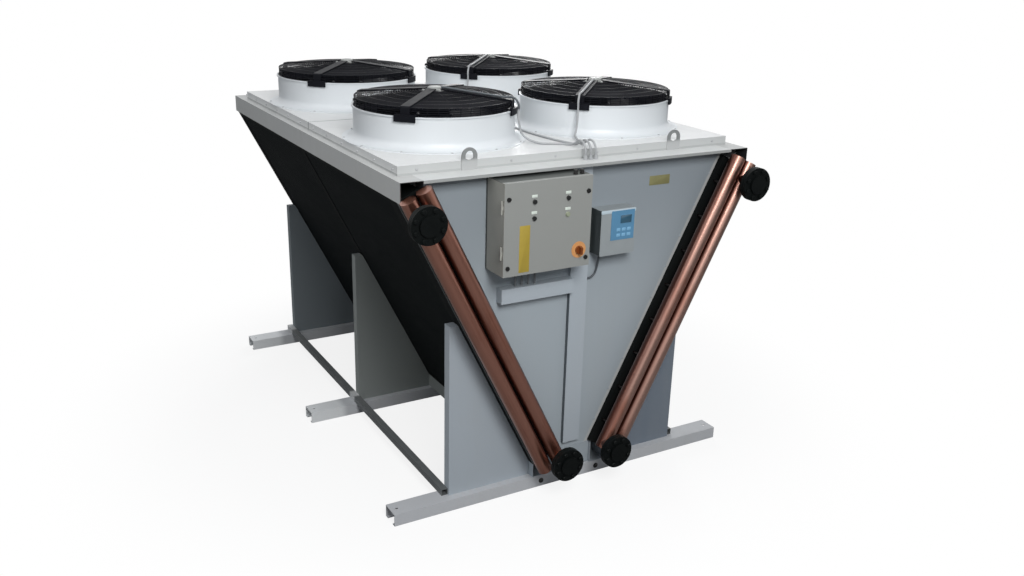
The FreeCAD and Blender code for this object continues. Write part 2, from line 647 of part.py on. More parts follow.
def deck_panel(y0):
    """Pan with turned-down edges and two round fan openings."""
    t, x = SHEET, PANEL_HALF_WIDTH
    y1 = y0 + PANEL_LENGTH
    pan = box(-x, x, y0, y1, DECK_TOP, PANEL_TOP)
    hollow = box(-x + t, x - t, y0 + t, y1 - t, DECK_TOP - t, PANEL_TOP - t)
    holes = []
    for fan_y in FAN_YS:
        if y0 < fan_y < y1:
            for side in (-1, 1):
                low = vec(side * FAN_X, fan_y, DECK_TOP)
                holes.append(rod(low, low + vec(0, 0, 2 * PANEL_RISE), COWL_RADIUS + COWL_FLARE))
    return cut(pan, [hollow] + holes)


def lifting_lug(x, y0):
    """Inverted U plate with a round-topped eye."""
    w, r = LUG_WIDTH / 2, LUG_EYE_RADIUS
    y1 = y0 + LUG_PLATE
    round_z = LUG_TOP - w
    body = box(x - w, x + w, y0, y1, DECK_TOP, round_z)
    crown = rod(vec(x, y0, round_z), vec(x, y1, round_z), w)
    eye_z = round_z + LUG_EYE_RISE
    eye = rod(vec(x, y0 - 1, eye_z), vec(x, y1 + 1, eye_z), r)
    slot = box(x - r, x + r, y0 - 1, y1 + 1, LUG_EYE_BASE, eye_z)
    return cut(fused([body, crown]), [eye, slot])


# Fans: white cowls, black guards that carry the motors, and impellers.
def revolve_z(outline, x, y):
    """Solid of revolution from (r, z) edges given as points or arcs."""
    wire = Part.Wire(outline)
    face = Part.Face(wire)
    solid = face.revolve(vec(0, 0, 0), vec(0, 0, 1), 360)
    solid.translate(vec(x, y, 0))
    return solid


def lines(points):
    edges = []
    for a, b in zip(points, points[1:]):
        edges.append(Part.LineSegment(vec(a[0], 0, a[1]), vec(b[0], 0, b[1])).toShape())
    return edges


def quarter_arc(centre, radius, start_angle, end_angle):
    points = []
    for angle in (start_angle, (start_angle + end_angle) / 2, end_angle):
        a = math.radians(angle)
        points.append(vec(centre[0] + radius * math.cos(a), 0, centre[1] + radius * math.sin(a)))
    return Part.Arc(points[0], points[1], points[2]).toShape()


def fan_cowl(x, y):
    r, t, flare, bead = COWL_RADIUS, COWL_WALL, COWL_FLARE, COWL_BEAD
    base = PANEL_TOP
    centre = (r + flare, base + t + flare)
    edges = lines([(r + flare, base), (r + flare + COWL_FOOT, base), (r + flare + COWL_FOOT, base + t),
                   (r + flare, base + t)])
    edges.append(quarter_arc(centre, flare, 270, 180))
    edges += lines([(r, base + t + flare), (r, RIM_Z - bead), (r + bead, RIM_Z - bead), (r + bead, RIM_Z),
                    (r - t, RIM_Z), (r - t, base + t + flare)])
    edges.append(quarter_arc(centre, flare + t, 180, 270))
    return revolve_z(edges, x, y)


def ring(radius, z, width, height):
    outer = Part.makeCylinder(radius + width / 2, height, vec(0, 0, z))
    inner = Part.makeCylinder(radius - width / 2, height + 2, vec(0, 0, z - 1))
    return cut(outer, [inner])


def guard_height(radius):
    """Height of the top of the guard's rings: a shallow cone."""
    return RIM_Z + GUARD_CROWN - (GUARD_CROWN - GUARD_RISE) * radius / GUARD_RADIUS


def arm_height(radius):
    """Height of the middle of the arms' thickness where they lie on the rings."""
    return guard_height(radius) + ARM_LIFT


def guard_basket():
    """Grille of rings welded on radial spokes round a plate that carries the motor."""
    w = GUARD_WIRE
    rings = []
    for i in range(GUARD_RINGS):
        r = GUARD_HUB_RADIUS + (GUARD_RADIUS - GUARD_HUB_RADIUS) * (i + 1) / GUARD_RINGS
        rings.append(ring(r, guard_height(r) - w, w, w))
    top = guard_height(GUARD_HUB_RADIUS)
    pieces = [Part.makeCylinder(GUARD_HUB_RADIUS, 2 * w, vec(0, 0, top - 2 * w))] + rings
    inner = GUARD_HUB_RADIUS - w
    outer = GUARD_RADIUS + w / 2
    outline = [(inner, guard_height(inner) - 2 * w), (outer, guard_height(outer) - 2 * w),
               (outer, guard_height(outer) - w / 2), (inner, guard_height(inner) - w / 2)]
    for i in range(GUARD_SPOKES):
        spoke = prism_y(outline, -w / 2, w / 2)
        spoke.rotate(vec(0, 0, 0), vec(0, 0, 1), 360.0 / GUARD_SPOKES * (i + 0.5))
        pieces.append(spoke)
    return fused(pieces)


def clamp_outline():
    """(r, z) outline of a saddle that grips the cowl's bead from above."""
    bead = COWL_RADIUS + COWL_BEAD + FIT
    bore = COWL_RADIUS - COWL_WALL - CLAMP_BORE_GAP
    wall = CLAMP_WALL
    skirt = RIM_Z - CLAMP_SKIRT
    return [(bore - wall, skirt), (bore, skirt), (bore, RIM_Z), (bead, RIM_Z), (bead, skirt),
            (bead + wall, skirt), (bead + wall, RIM_Z + wall), (bore - wall, RIM_Z + wall)]


def arm_outline():
    """(r, z) outline of a flat bar over the basket, bent down at the cowl's edge."""
    half = ARM_THICKNESS / 2
    start, outer, inner = GUARD_HUB_RADIUS / 2, COWL_RADIUS + half, COWL_RADIUS - half
    foot = RIM_Z + CLAMP_WALL / 2
    return [(start, arm_height(start) - half), (inner, arm_height(inner) - half), (inner, foot), (outer, foot),
            (outer, arm_height(outer) + half), (start, arm_height(start) + half)]


def is_knee(edge, radius):
    """Whether an edge runs along the knee of an arm at one distance from the fan's axis."""
    low, high = edge.BoundBox.ZMin, edge.BoundBox.ZMax
    return abs(edge.BoundBox.XMin - radius) < 0.01 and high - low < 0.01 and low > RIM_Z + CLAMP_WALL


def guard_arm():
    """Flat bar with a rounded knee, down to its clamp on the cowl's edge."""
    half = ARM_THICKNESS / 2
    bar = prism_y(arm_outline(), -ARM_WIDTH / 2, ARM_WIDTH / 2)
    bar = bar.makeFillet(ARM_BEND, [e for e in bar.Edges if is_knee(e, COWL_RADIUS + half)])
    bar = bar.makeFillet(ARM_BEND - ARM_THICKNESS, [e for e in bar.Edges if is_knee(e, COWL_RADIUS - half)])
    angle = math.degrees(CLAMP_WIDTH / COWL_RADIUS)
    section = Part.Face(Part.makePolygon([vec(r, 0, z) for r, z in clamp_outline() + clamp_outline()[:1]]))
    section.rotate(vec(0, 0, 0), vec(0, 0, 1), -angle / 2)
    clamp = section.revolve(vec(0, 0, 0), vec(0, 0, 1), angle)
    return fused([bar, clamp])


def fan_guard():
    pieces = [guard_basket()]
    for i in range(GUARD_ARMS):
        arm = guard_arm()
        arm.rotate(vec(0, 0, 0), vec(0, 0, 1), 360.0 / GUARD_ARMS * (i + 0.5))
        pieces.append(arm)
    return Part.makeCompound(pieces)


def fan_motor():
    """Fixed motor under the guard's plate with the shaft that carries the impeller."""
    plate_z = guard_height(GUARD_HUB_RADIUS) - 2 * GUARD_WIRE
    hub_top = IMPELLER_Z + HUB_HEIGHT
    low = hub_top + RUNNING_GAP
    flange = Part.makeCylinder(MOTOR_RADIUS, MOTOR_BODY, vec(0, 0, low))
    neck = Part.makeCylinder(MOTOR_NECK, plate_z - low, vec(0, 0, low))
    shaft_low = IMPELLER_Z + HUB_FLOOR + RUNNING_GAP
    shaft = Part.makeCylinder(SHAFT_RADIUS, low - shaft_low, vec(0, 0, shaft_low))
    return fused([flange, neck, shaft])


def blade_section(radius, chord, pitch, sweep):
    """Closed cambered section across the blade at one radius."""
    half = BLADE_THICKNESS / 2
    camber = chord * BLADE_CAMBER
    profile = [(-chord / 2, -half), (0, camber - half), (chord / 2, -half),
               (chord / 2, half), (0, camber + half), (-chord / 2, half)]
    a = math.radians(pitch)
    points = []
    for along, up in profile:
        t = along * math.cos(a) - up * math.sin(a)
        z = along * math.sin(a) + up * math.cos(a) + IMPELLER_Z + HUB_HEIGHT / 2
        points.append(vec(radius, t, z))
    section = Part.makePolygon(points + [points[0]])
    section.rotate(vec(0, 0, 0), vec(0, 0, 1), sweep)
    return section


def fan_impeller():
    """Hub with swept, twisted blades lofted through sections on three radii."""
    hub = Part.makeCylinder(HUB_RADIUS, HUB_HEIGHT, vec(0, 0, IMPELLER_Z))
    sections = []
    root = HUB_RADIUS - BLADE_ROOT - ROOT_CHORD / 8
    tip = math.sqrt(IMPELLER_TIP ** 2 - (TIP_CHORD / 2) ** 2)
    for share in (0, 0.5, 1):
        radius = root + (tip - root) * share
        chord = ROOT_CHORD + (TIP_CHORD - ROOT_CHORD) * share
        pitch = ROOT_ANGLE + (TIP_ANGLE - ROOT_ANGLE) * share
        sections.append(blade_section(radius, chord, pitch, SWEEP_ANGLE * share * share))
    blade = Part.makeLoft(sections, True, True)
    pieces = [hub]
    for i in range(BLADE_COUNT):
        turned = blade.copy()
        turned.rotate(vec(0, 0, 0), vec(0, 0, 1), 360.0 / BLADE_COUNT * i)
        pieces.append(turned)
    bore = Part.makeCylinder(SHAFT_RADIUS + SHAFT_CLEARANCE, HUB_HEIGHT,
                             vec(0, 0, IMPELLER_Z + HUB_FLOOR))
    return cut(fused(pieces), [bore])


# Control cabinet: open box with a mounting plate, and a hinged door with its fittings.
def knuckle(z0, z1, bore):
    tube = rod(vec(HINGE_X, HINGE_Y, z0), vec(HINGE_X, HINGE_Y, z1), HINGE_RADIUS)
    if not bore:
        return tube
    return cut(tube, [rod(vec(HINGE_X, HINGE_Y, z0 - 1), vec(HINGE_X, HINGE_Y, z1 + 1),
                          HINGE_PIN + SHAFT_CLEARANCE)])


def cabinet_box():
    w = CABINET_WALL
    x0, x1, z0, z1, y = CABINET_LEFT, CABINET_RIGHT, CABINET_BOTTOM, CABINET_TOP, -CABINET_DEPTH
    body = box(x0, x1, y, 0, z0, z1)
    inside = box(x0 + w, x1 - w, y + w, -w, z0 + w, z1 - w)
    f = CABINET_FLANGE
    mouth = box(x0 + f, x1 - f, y - 1, y + 2 * w, z0 + f, z1 - f)
    body = cut(body, [inside, mouth])
    pieces = [body]
    for z in HINGE_ZS:
        for low, high in ((z - HINGE_LENGTH / 2, z - HINGE_LENGTH / 6 - FIT),
                          (z + HINGE_LENGTH / 6 + FIT, z + HINGE_LENGTH / 2)):
            pieces.append(knuckle(low, high, False))
            pieces.append(box(HINGE_X, x0, HINGE_Y, HINGE_Y + HINGE_RADIUS, low, high))
        pieces.append(rod(vec(HINGE_X, HINGE_Y, z - HINGE_LENGTH / 3), vec(HINGE_X, HINGE_Y, z + HINGE_LENGTH / 3),
                          HINGE_PIN))
    return fused(pieces)


def cabinet_door():
    w = CABINET_WALL
    x0, x1, z0, z1 = CABINET_LEFT, CABINET_RIGHT, CABINET_BOTTOM, CABINET_TOP
    slab = box(x0, x1, DOOR_FACE, DOOR_BACK, z0, z1)
    hollow = box(x0 + w, x1 - w, DOOR_FACE + w, DOOR_BACK + 1, z0 + w, z1 - w)
    door = cut(slab, [hollow])
    pieces = [door]
    for z in HINGE_ZS:
        low, high = z - HINGE_LENGTH / 6, z + HINGE_LENGTH / 6
        leaf = box(HINGE_X, x0, HINGE_Y - HINGE_RADIUS, HINGE_Y - HINGE_PIN - 1, low, high)
        pieces.append(fused([knuckle(low, high, True), leaf]))
    holes = []
    for _, x, z in LOCK_PLACES:
        holes.append(rod(vec(x, DOOR_FACE - 1, z), vec(x, DOOR_BACK, z), LOCK_SHANK + SHAFT_CLEARANCE))
    for _, x, z in BUTTON_PLACES:
        holes.append(rod(vec(x, DOOR_FACE - 1, z), vec(x, DOOR_BACK, z), BUTTON_RADIUS + FIT))
    holes.append(rod(vec(SWITCH_X, DOOR_FACE - 1, SWITCH_Z), vec(SWITCH_X, DOOR_BACK, SWITCH_Z),
                     KNOB_SHANK + SHAFT_CLEARANCE))
    return cut(fused(pieces), holes)


def switchgear():
    """Mounting plate on four standoffs with a rail of switching devices."""
    w = CABINET_WALL
    inset = CABINET_FLANGE + PLATE_MARGIN
    x0, x1 = CABINET_LEFT + inset, CABINET_RIGHT - inset
    z0, z1 = CABINET_BOTTOM + inset, CABINET_TOP - inset
    middle = (z0 + z1) / 2
    plate_face = -PLATE_STANDOFF - w
    rail_face = plate_face - DIN_RAIL_DEPTH
    pieces = [box(x0, x1, plate_face, -PLATE_STANDOFF, z0, z1)]
    for x in (x0 + STANDOFF_INSET, x1 - STANDOFF_INSET):
        for z in (z0 + STANDOFF_INSET, z1 - STANDOFF_INSET):
            pieces.append(rod(vec(x, -PLATE_STANDOFF, z), vec(x, -w, z), STANDOFF_RADIUS))
    pieces.append(box(x0 + DIN_RAIL_MARGIN, x1 - DIN_RAIL_MARGIN, rail_face, plate_face,
                      middle - DIN_RAIL_HEIGHT / 2, middle + DIN_RAIL_HEIGHT / 2))
    width = (x1 - x0 - 2 * DEVICE_MARGIN) / DEVICES
    for i in range(DEVICES):
        x = x0 + DEVICE_MARGIN + i * width
        pieces.append(box(x + DEVICE_GAP / 2, x + width - DEVICE_GAP / 2, rail_face - DEVICE_DEPTH, rail_face,
                          middle - DEVICE_HEIGHT / 2, middle + DEVICE_HEIGHT / 2))
    return fused(pieces)


def door_lock(x, z):
    """Quarter-turn lock: round head, shank through the door and a cam behind the box's flange."""
    cam_front = -CABINET_DEPTH + CABINET_WALL + FIT
    head = rod(vec(x, DOOR_FACE - LOCK_HEAD, z), vec(x, DOOR_FACE - FIT, z), LOCK_RADIUS)
    shank = rod(vec(x, DOOR_FACE - FIT - 1, z), vec(x, cam_front + LOCK_CAM, z), LOCK_SHANK)
    half = LOCK_RADIUS * LOCK_SLOT_SHARE
    slot = box(x - half, x + half, DOOR_FACE - LOCK_HEAD - 1, DOOR_FACE - LOCK_HEAD / 2,
               z - LOCK_SLOT / 2, z + LOCK_SLOT / 2)
    cam = box(x - LOCK_SHANK, x + LOCK_SHANK, cam_front, cam_front + LOCK_CAM, z - LOCK_SHANK, z + LOCK_REACH)
    return cut(fused([head, shank, cam]), [slot])


def push_button(x, z):
    head = rod(vec(x, DOOR_FACE - BUTTON_PROUD, z), vec(x, DOOR_FACE + BUTTON_DEPTH, z), BUTTON_RADIUS)
    stop = rod(vec(x, DOOR_FACE + CABINET_WALL + FIT, z), vec(x, DOOR_FACE + BUTTON_DEPTH, z),
               BUTTON_RADIUS + BUTTON_STOP)
    return fused([head, stop])


def switch_plate():
    disc = rod(vec(SWITCH_X, DOOR_FACE - LEGEND_PLATE, SWITCH_Z), vec(SWITCH_X, DOOR_FACE, SWITCH_Z),
               SWITCH_PLATE_RADIUS)
    hole = rod(vec(SWITCH_X, DOOR_FACE - LEGEND_PLATE - 1, SWITCH_Z), vec(SWITCH_X, DOOR_FACE + 1, SWITCH_Z),
               KNOB_SHANK + SHAFT_CLEARANCE)
    return cut(disc, [hole])


def switch_knob():
    """Rotary handle: round base, raised grip bar and shank."""
    y = DOOR_FACE - LEGEND_PLATE - FIT
    base = rod(vec(SWITCH_X, y - KNOB_BASE, SWITCH_Z), vec(SWITCH_X, y, SWITCH_Z), KNOB_RADIUS)
    grip = box(SWITCH_X - KNOB_GRIP / 2, SWITCH_X + KNOB_GRIP / 2, y - KNOB_HEIGHT, y - KNOB_BASE,
               SWITCH_Z - KNOB_RADIUS + KNOB_MARGIN, SWITCH_Z + KNOB_RADIUS - KNOB_MARGIN)
    shank = rod(vec(SWITCH_X, y, SWITCH_Z), vec(SWITCH_X, DOOR_BACK, SWITCH_Z), KNOB_SHANK)
    return fused([base, grip, shank])


def door_lamp():
    x, z = LAMP_PLACE
    collar_face = DOOR_FACE - LAMP_COLLAR
    collar = rod(vec(x, collar_face, z), vec(x, DOOR_FACE, z), BUTTON_RADIUS + BUTTON_STOP)
    lens = rod(vec(x, DOOR_FACE - BUTTON_PROUD, z), vec(x, collar_face, z), BUTTON_RADIUS - LAMP_LENS_INSET)
    return fused([collar, lens])


# Controller: moulded box with a raised keypad on the front panel.
def controller_box():
    x0, z0 = CONTROLLER_LEFT, CONTROLLER_BOTTOM
    x1, z1 = x0 + CONTROLLER_WIDTH, z0 + CONTROLLER_HEIGHT
    lid_y = -CONTROLLER_DEPTH + CONTROLLER_LID
    base = box(x0, x1, lid_y, 0, z0, z1)
    lid = box(x0 - LID_LIP, x1 + LID_LIP, -CONTROLLER_DEPTH, lid_y, z0 - LID_LIP, z1 + LID_LIP)
    upright = [edge for edge in lid.Edges if abs(edge.tangentAt(edge.FirstParameter).y) > 0.9]
    lid = lid.makeFillet(LID_CORNER, upright)
    return fused([base, lid])


def controller_keypad():
    x1 = CONTROLLER_LEFT + CONTROLLER_WIDTH - KEYPAD_INSET
    z1 = CONTROLLER_BOTTOM + CONTROLLER_HEIGHT - KEYPAD_INSET
    x0, z0 = x1 - KEYPAD_WIDTH, z1 - KEYPAD_HEIGHT
    face = -CONTROLLER_DEPTH - LEGEND_PLATE
    pad = box(x0, x1, face, -CONTROLLER_DEPTH, z0, z1)
    right, top = x1 - DISPLAY_SIDE_INSET, z1 - DISPLAY_TOP_INSET
    bezel = box(right - DISPLAY_WIDTH, right, face - LEGEND_PLATE, face, top - DISPLAY_HEIGHT, top)
    return fused([pad, bezel])


# Cable run: a hollow centre post, a tray under the cabinet, and glands.
def cable_tray():
    t = SHEET
    x0, x1 = CABINET_LEFT + TRAY_INSET, -POST_HALF_WIDTH
    tray = box(x0, x1, -TRAY_DEPTH, 0, TRAY_Z, TRAY_Z + TRAY_HEIGHT)
    hollow = box(x0 + t, x1 - t, -TRAY_DEPTH + t, t, TRAY_Z + t, TRAY_Z + TRAY_HEIGHT - t)
    return cut(tray, [hollow])


def gland(x, y, z, up):
    """Cable gland: hexagon nut and domed collar on a surface at height z."""
    sign = 1 if up else -1
    corners = []
    for i in range(6):
        a = math.radians(60 * i)
        corners.append(vec(x + GLAND_RADIUS * math.cos(a), y + GLAND_RADIUS * math.sin(a), z))
    nut = prism(corners, vec(0, 0, sign * GLAND_NUT))
    collar = rod(vec(x, y, z), vec(x, y, z + sign * GLAND_LENGTH), GLAND_RADIUS * GLAND_COLLAR_SHARE)
    return fused([nut, collar])


def tube(name, points):
    """Cable along straight runs joined by tangent arcs, with its bend radii printed."""
    edges = []
    radii = []
    start = points[0]
    for before, corner, after in zip(points, points[1:], points[2:]):
        a = (corner - before)
        b = (after - corner)
        turn = a.getAngle(b)
        run = min(a.Length, b.Length)
        radius = 0.45 * run / math.tan(turn / 2)
        radii.append(round(radius))
        a.normalize()
        b.normalize()
        enter = corner - a * (0.45 * run)
        leave = corner + b * (0.45 * run)
        bisector = (b - a).normalize()
        centre = corner + bisector * (radius / math.cos(turn / 2))
        middle = centre - bisector * radius
        edges.append(Part.LineSegment(start, enter).toShape())
        edges.append(Part.Arc(enter, middle, leave).toShape())
        start = leave
    edges.append(Part.LineSegment(start, points[-1]).toShape())
    path = Part.Wire(edges)
    direction = points[1] - points[0]
    circle = Part.Wire(Part.Circle(points[0], direction, CABLE_RADIUS).toShape())
    solid = path.makePipeShell([circle], True, False)
    expected = math.pi * CABLE_RADIUS ** 2 * path.Length
    print(name, "bend radii", radii, "volume ratio", round(solid.Volume / expected, 4))
    return solid


def fan_cable_start(x, y, side):
    """Points of a fan cable along a guard arm, over its clamp and down the cowl to the deck."""
    a = math.radians(270 - 45 * side)
    c = CABLE_RADIUS
    ride = ARM_THICKNESS / 2 + c + SEAT
    knee = COWL_RADIUS
    outside = COWL_RADIUS + COWL_BEAD + FIT + CLAMP_WALL + c
    foot = COWL_RADIUS + COWL_FLARE + COWL_FOOT
    stations = [(MOTOR_NECK, arm_height(MOTOR_NECK) + ride), (knee - 8 * c, arm_height(knee - 8 * c) + ride),
                (knee + 2.5 * c, arm_height(knee) + ride + 1.3 * c), (outside + 2.7 * c, arm_height(knee) - 5 * c),
                (outside + 1.2 * c, RIM_Z - 3 * c), (outside + 3 * c, RIM_Z - 0.45 * COWL_HEIGHT),
                (foot - COWL_FOOT / 2, PANEL_TOP + COWL_FLARE + c), (foot + 6 * c, PANEL_TOP + 3 * c)]
    return [vec(x + r * math.cos(a), y + r * math.sin(a), z) for r, z in stations]


def cable_drop(x):
    """Points of a cable over the front edge of the fan panel and down into its gland."""
    c = CABLE_RADIUS
    deck = PANEL_TOP + c
    front = CABLE_ENTRY_Y
    return [vec(x, front + 23 * c, deck + 0.7 * c), vec(x, front + 15.7 * c, deck + 4.5 * c),
            vec(x, front + 11 * c, deck + 7.2 * c), vec(x, front + 4 * c, deck + 6.2 * c),
            vec(x, front, deck), vec(x, front, DECK_TOP + GLAND_LENGTH)]


def cables():
    c = CABLE_RADIUS
    deck = PANEL_TOP + c + SEAT
    left, middle, right = CABLE_ENTRIES
    entry = CABLE_ENTRY_Y
    front_left = fan_cable_start(-FAN_X, FAN_YS[0], -1)
    front_left += [vec(left - 24 * c, entry + 42 * c, deck), vec(left - 12 * c, entry + 37 * c, deck),
                   vec(left - 3 * c, entry + 31 * c, deck)] + cable_drop(left)
    front_right = fan_cable_start(FAN_X, FAN_YS[0], 1)
    front_right += [vec(right + 4 * c, entry + 33 * c, deck)] + cable_drop(right)
    rear_right = fan_cable_start(FAN_X, FAN_YS[1], 1)
    start, end = FAN_YS[1] - FAN_X, entry + 50 * c
    sways = [12, 3, -1, 1, -1, 1, -1, 1, 4]
    for i, sway in enumerate(sways):
        share = (i + 0.5) / (len(sways) - 0.5)
        rear_right.append(vec(sway * c, start + (end - start) * share, deck))
    rear_right += [vec(middle - 2 * c, entry + 34 * c, deck)] + cable_drop(middle)
    x, low, y = CONTROLLER_LEFT + LEAD_INSET, CONTROLLER_BOTTOM, -POST_DEPTH / 2
    level = low - 26 * c
    lead = [vec(x, LOW_GLAND_Y, low), vec(x, LOW_GLAND_Y, low - 8 * c), vec(x, y - c, low - 16 * c),
            vec(x - c, y, low - 22 * c), vec(POST_HALF_WIDTH + 6 * c, y, level), vec(POST_HALF_WIDTH, y, level)]
    return (tube("front left cable", front_left), tube("front right cable", front_right),
            tube("rear right cable", rear_right), tube("controller lead", lead))


def cable_glands():
    """Glands on the deck strip, on the cabinet's top and under the cabinet."""
    pieces = [gland(x, CABLE_ENTRY_Y, DECK_TOP, True) for x in CABLE_ENTRIES]
    for i in range(TOP_GLANDS):
        x = CABINET_RIGHT - TOP_GLAND_INSET - i * GLAND_PITCH
        pieces.append(gland(x, TOP_GLAND_Y, CABINET_TOP, True))
    for i in range(LOW_GLANDS):
        x = CABINET_LEFT + TRAY_INSET + LOW_GLAND_INSET + i * GLAND_PITCH
        tray_top = TRAY_Z + TRAY_HEIGHT
        stub = rod(vec(x, LOW_GLAND_Y, CABINET_BOTTOM - GLAND_LENGTH), vec(x, LOW_GLAND_Y, tray_top), CABLE_RADIUS)
        pieces.append(fused([gland(x, LOW_GLAND_Y, CABINET_BOTTOM, False), stub]))
    return pieces


def both_sides(shapes):
    """Pieces on the right and their mirror images, as one group."""
    return Part.makeCompound(shapes + [mirrored(shape) for shape in shapes])


def main():
    os.makedirs(OUT, exist_ok=True)
    build_frame()
    build_coils()
    build_deck()
    build_fans()
    build_controls()


def build_frame():
    for name, front in zip(("front", "middle", "rear"), RAIL_FRONTS):
        save("floor_rail_" + name, floor_rail(front))
    save_pair("legs", Part.makeCompound([leg(front) for front in LEG_FRONTS]))
    save("tie_bars", both_sides([tie_bar()]))
    save("coil_sills", both_sides([sill()]))
    save("plenum_floor", plenum_floor())
    save("front_panel", v_panel(0))
    save("rear_panel", v_panel(REAR_PANEL_Y))
    save("partition", partition())


def build_coils():
    save_pair("coil_fins", coil_fins())
    save_pair("coil_casing", Part.makeCompound([coil_casing(), header_bracket()]))
    save("coil_end_covers", both_sides([coil_end_cover()]))
    save_pair("header_outlet", header(True))
    save_pair("header_inlet", header(False))
    save("pipe_flanges", both_sides([pipe_flange(True), pipe_flange(False)]))
    save("blank_covers", both_sides([blank_cover(True), blank_cover(False)]))


def build_deck():
    save_pair("deck_rim", deck_rim())
    strip_depth = PANEL_FRONT + RIM_LEDGE - DECK_FRONT
    save("deck_strips", Part.makeCompound([deck_strip(DECK_FRONT, DECK_FRONT + strip_depth),
                                           deck_strip(DECK_REAR, DECK_REAR - REAR_STRIP)]))
    save("cross_beam", cross_beam())
    for name, start in zip(("front", "rear"), PANEL_STARTS):
        save("deck_panel_" + name, deck_panel(start))
    lug_ys = (PANEL_FRONT - LUG_PLATE, PANEL_STARTS[1] + PANEL_LENGTH)
    save("lifting_lugs", both_sides([lifting_lug(LUG_X, y) for y in lug_ys]))


def build_fans():
    guard = fan_guard()
    motor = fan_motor()
    impeller = fan_impeller()
    motors = []
    for row, fan_y in zip(("front", "rear"), FAN_YS):
        for side, fan_x in (("left", -FAN_X), ("right", FAN_X)):
            place = row + "_" + side
            save("fan_cowl_" + place, fan_cowl(fan_x, fan_y))
            for name, shape in (("fan_guard_", guard), ("fan_impeller_", impeller)):
                piece = shape.copy()
                piece.translate(vec(fan_x, fan_y, 0))
                save(name + place, piece)
            piece = motor.copy()
            piece.translate(vec(fan_x, fan_y, 0))
            motors.append(piece)
    save("fan_motors", Part.makeCompound(motors))


def build_controls():
    save("cable_ducts", Part.makeCompound([centre_post(), cable_tray()]))
    save("cabinet_box", cabinet_box())
    save("cabinet_door", cabinet_door())
    save("switchgear", switchgear())
    for name, x, z in LOCK_PLACES:
        save("door_lock_" + name, door_lock(x, z))
    for name, x, z in BUTTON_PLACES:
        save("push_button_" + name, push_button(x, z))
    save("door_lamp", door_lamp())
    save("switch_plate", switch_plate())
    save("switch_knob", switch_knob())
    save("controller_box", controller_box())
    save("controller_keypad", controller_keypad())
    save("cables", Part.makeCompound(list(cables())))
    save("cable_glands", Part.makeCompound(cable_glands()))


if __name__ == "__main__":
    main()
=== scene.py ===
# %% [markdown]
# An air-cooled condenser: two finned coils lean outwards in a V under a white deck with four fans.
# The CAD model already holds every piece with its true size. This script only dresses it: finishes,
# fasteners, return bends, guard wires and blank plates, then light and camera.
# Everything is in metres, with +X to the right of the front end and +Y running to the rear.

# %% Load the CAD model
import json
import math

import bmesh
import bpy
from mathutils import Matrix, Vector


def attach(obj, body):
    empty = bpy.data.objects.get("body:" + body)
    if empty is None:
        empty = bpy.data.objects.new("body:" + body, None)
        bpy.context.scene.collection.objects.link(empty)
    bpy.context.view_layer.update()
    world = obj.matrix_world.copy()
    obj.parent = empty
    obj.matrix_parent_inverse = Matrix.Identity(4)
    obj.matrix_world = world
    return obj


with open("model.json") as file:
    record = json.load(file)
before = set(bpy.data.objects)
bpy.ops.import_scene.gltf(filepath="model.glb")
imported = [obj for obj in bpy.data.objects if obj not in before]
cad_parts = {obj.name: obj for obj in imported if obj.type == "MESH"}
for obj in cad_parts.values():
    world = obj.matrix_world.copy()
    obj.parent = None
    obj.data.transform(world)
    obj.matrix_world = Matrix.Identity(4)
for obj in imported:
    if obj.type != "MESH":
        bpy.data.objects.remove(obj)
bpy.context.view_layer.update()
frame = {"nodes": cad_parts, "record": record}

nodes = frame["nodes"]

# %% [markdown]
# The camera comes first, because every look is judged through it. It stands about three metres up, to
# the left of the front end. A camera object looks along its own -Z, so its axes are built from the
# azimuth and elevation, and a small roll tips the horizon as in a hand-held picture.

# %% Camera
AZIMUTH, ELEVATION, ROLL = math.radians(-30.26), math.radians(19.49), math.radians(1.534)
TARGET = Vector((-0.2567, -1.0397, 1.1894))
DISTANCE = 5.8336
FOCAL_PIXELS, IMAGE_WIDTH = 981.18, 1024

back = Vector((math.sin(AZIMUTH) * math.cos(ELEVATION), -math.cos(AZIMUTH) * math.cos(ELEVATION),
               math.sin(ELEVATION)))
level = (-back).cross(Vector((0, 0, 1))).normalized()
upright = level.cross(-back)
right = math.cos(ROLL) * level + math.sin(ROLL) * upright
up = math.cos(ROLL) * upright - math.sin(ROLL) * level
turned = Matrix((right, up, back)).transposed().to_4x4()
standpoint = TARGET + DISTANCE * back

camera_data = bpy.data.cameras.new("camera")
camera_data.lens = FOCAL_PIXELS * camera_data.sensor_width / IMAGE_WIDTH
camera = bpy.data.objects.new("camera", camera_data)
camera.matrix_world = Matrix.Translation(standpoint) @ turned
bpy.context.scene.collection.objects.link(camera)
bpy.context.scene.camera = camera
print("camera at", [round(v, 3) for v in standpoint], "lens", round(camera_data.lens, 2), "mm")

# %% [markdown]
# Finishes and fasteners have to know where the sheets end and where the fans stand. Typing all those
# places in again would let them drift away from the CAD model, so the main ones are read off its
# pieces. A mesh stores short floats, and rounding to a hundredth of a millimetre gives the drawing's
# own numbers.

# %% Places on the machine
X, Y, Z = 0, 1, 2


def reach(name, axis):
    """The lowest and the highest coordinate of a CAD piece along one axis."""
    values = [corner.co[axis] for corner in nodes[name].data.vertices]
    return round(min(values), 5), round(max(values), 5)


def middle(name, axis):
    """The middle of a CAD piece along one axis."""
    return round(sum(reach(name, axis)) / 2, 5)


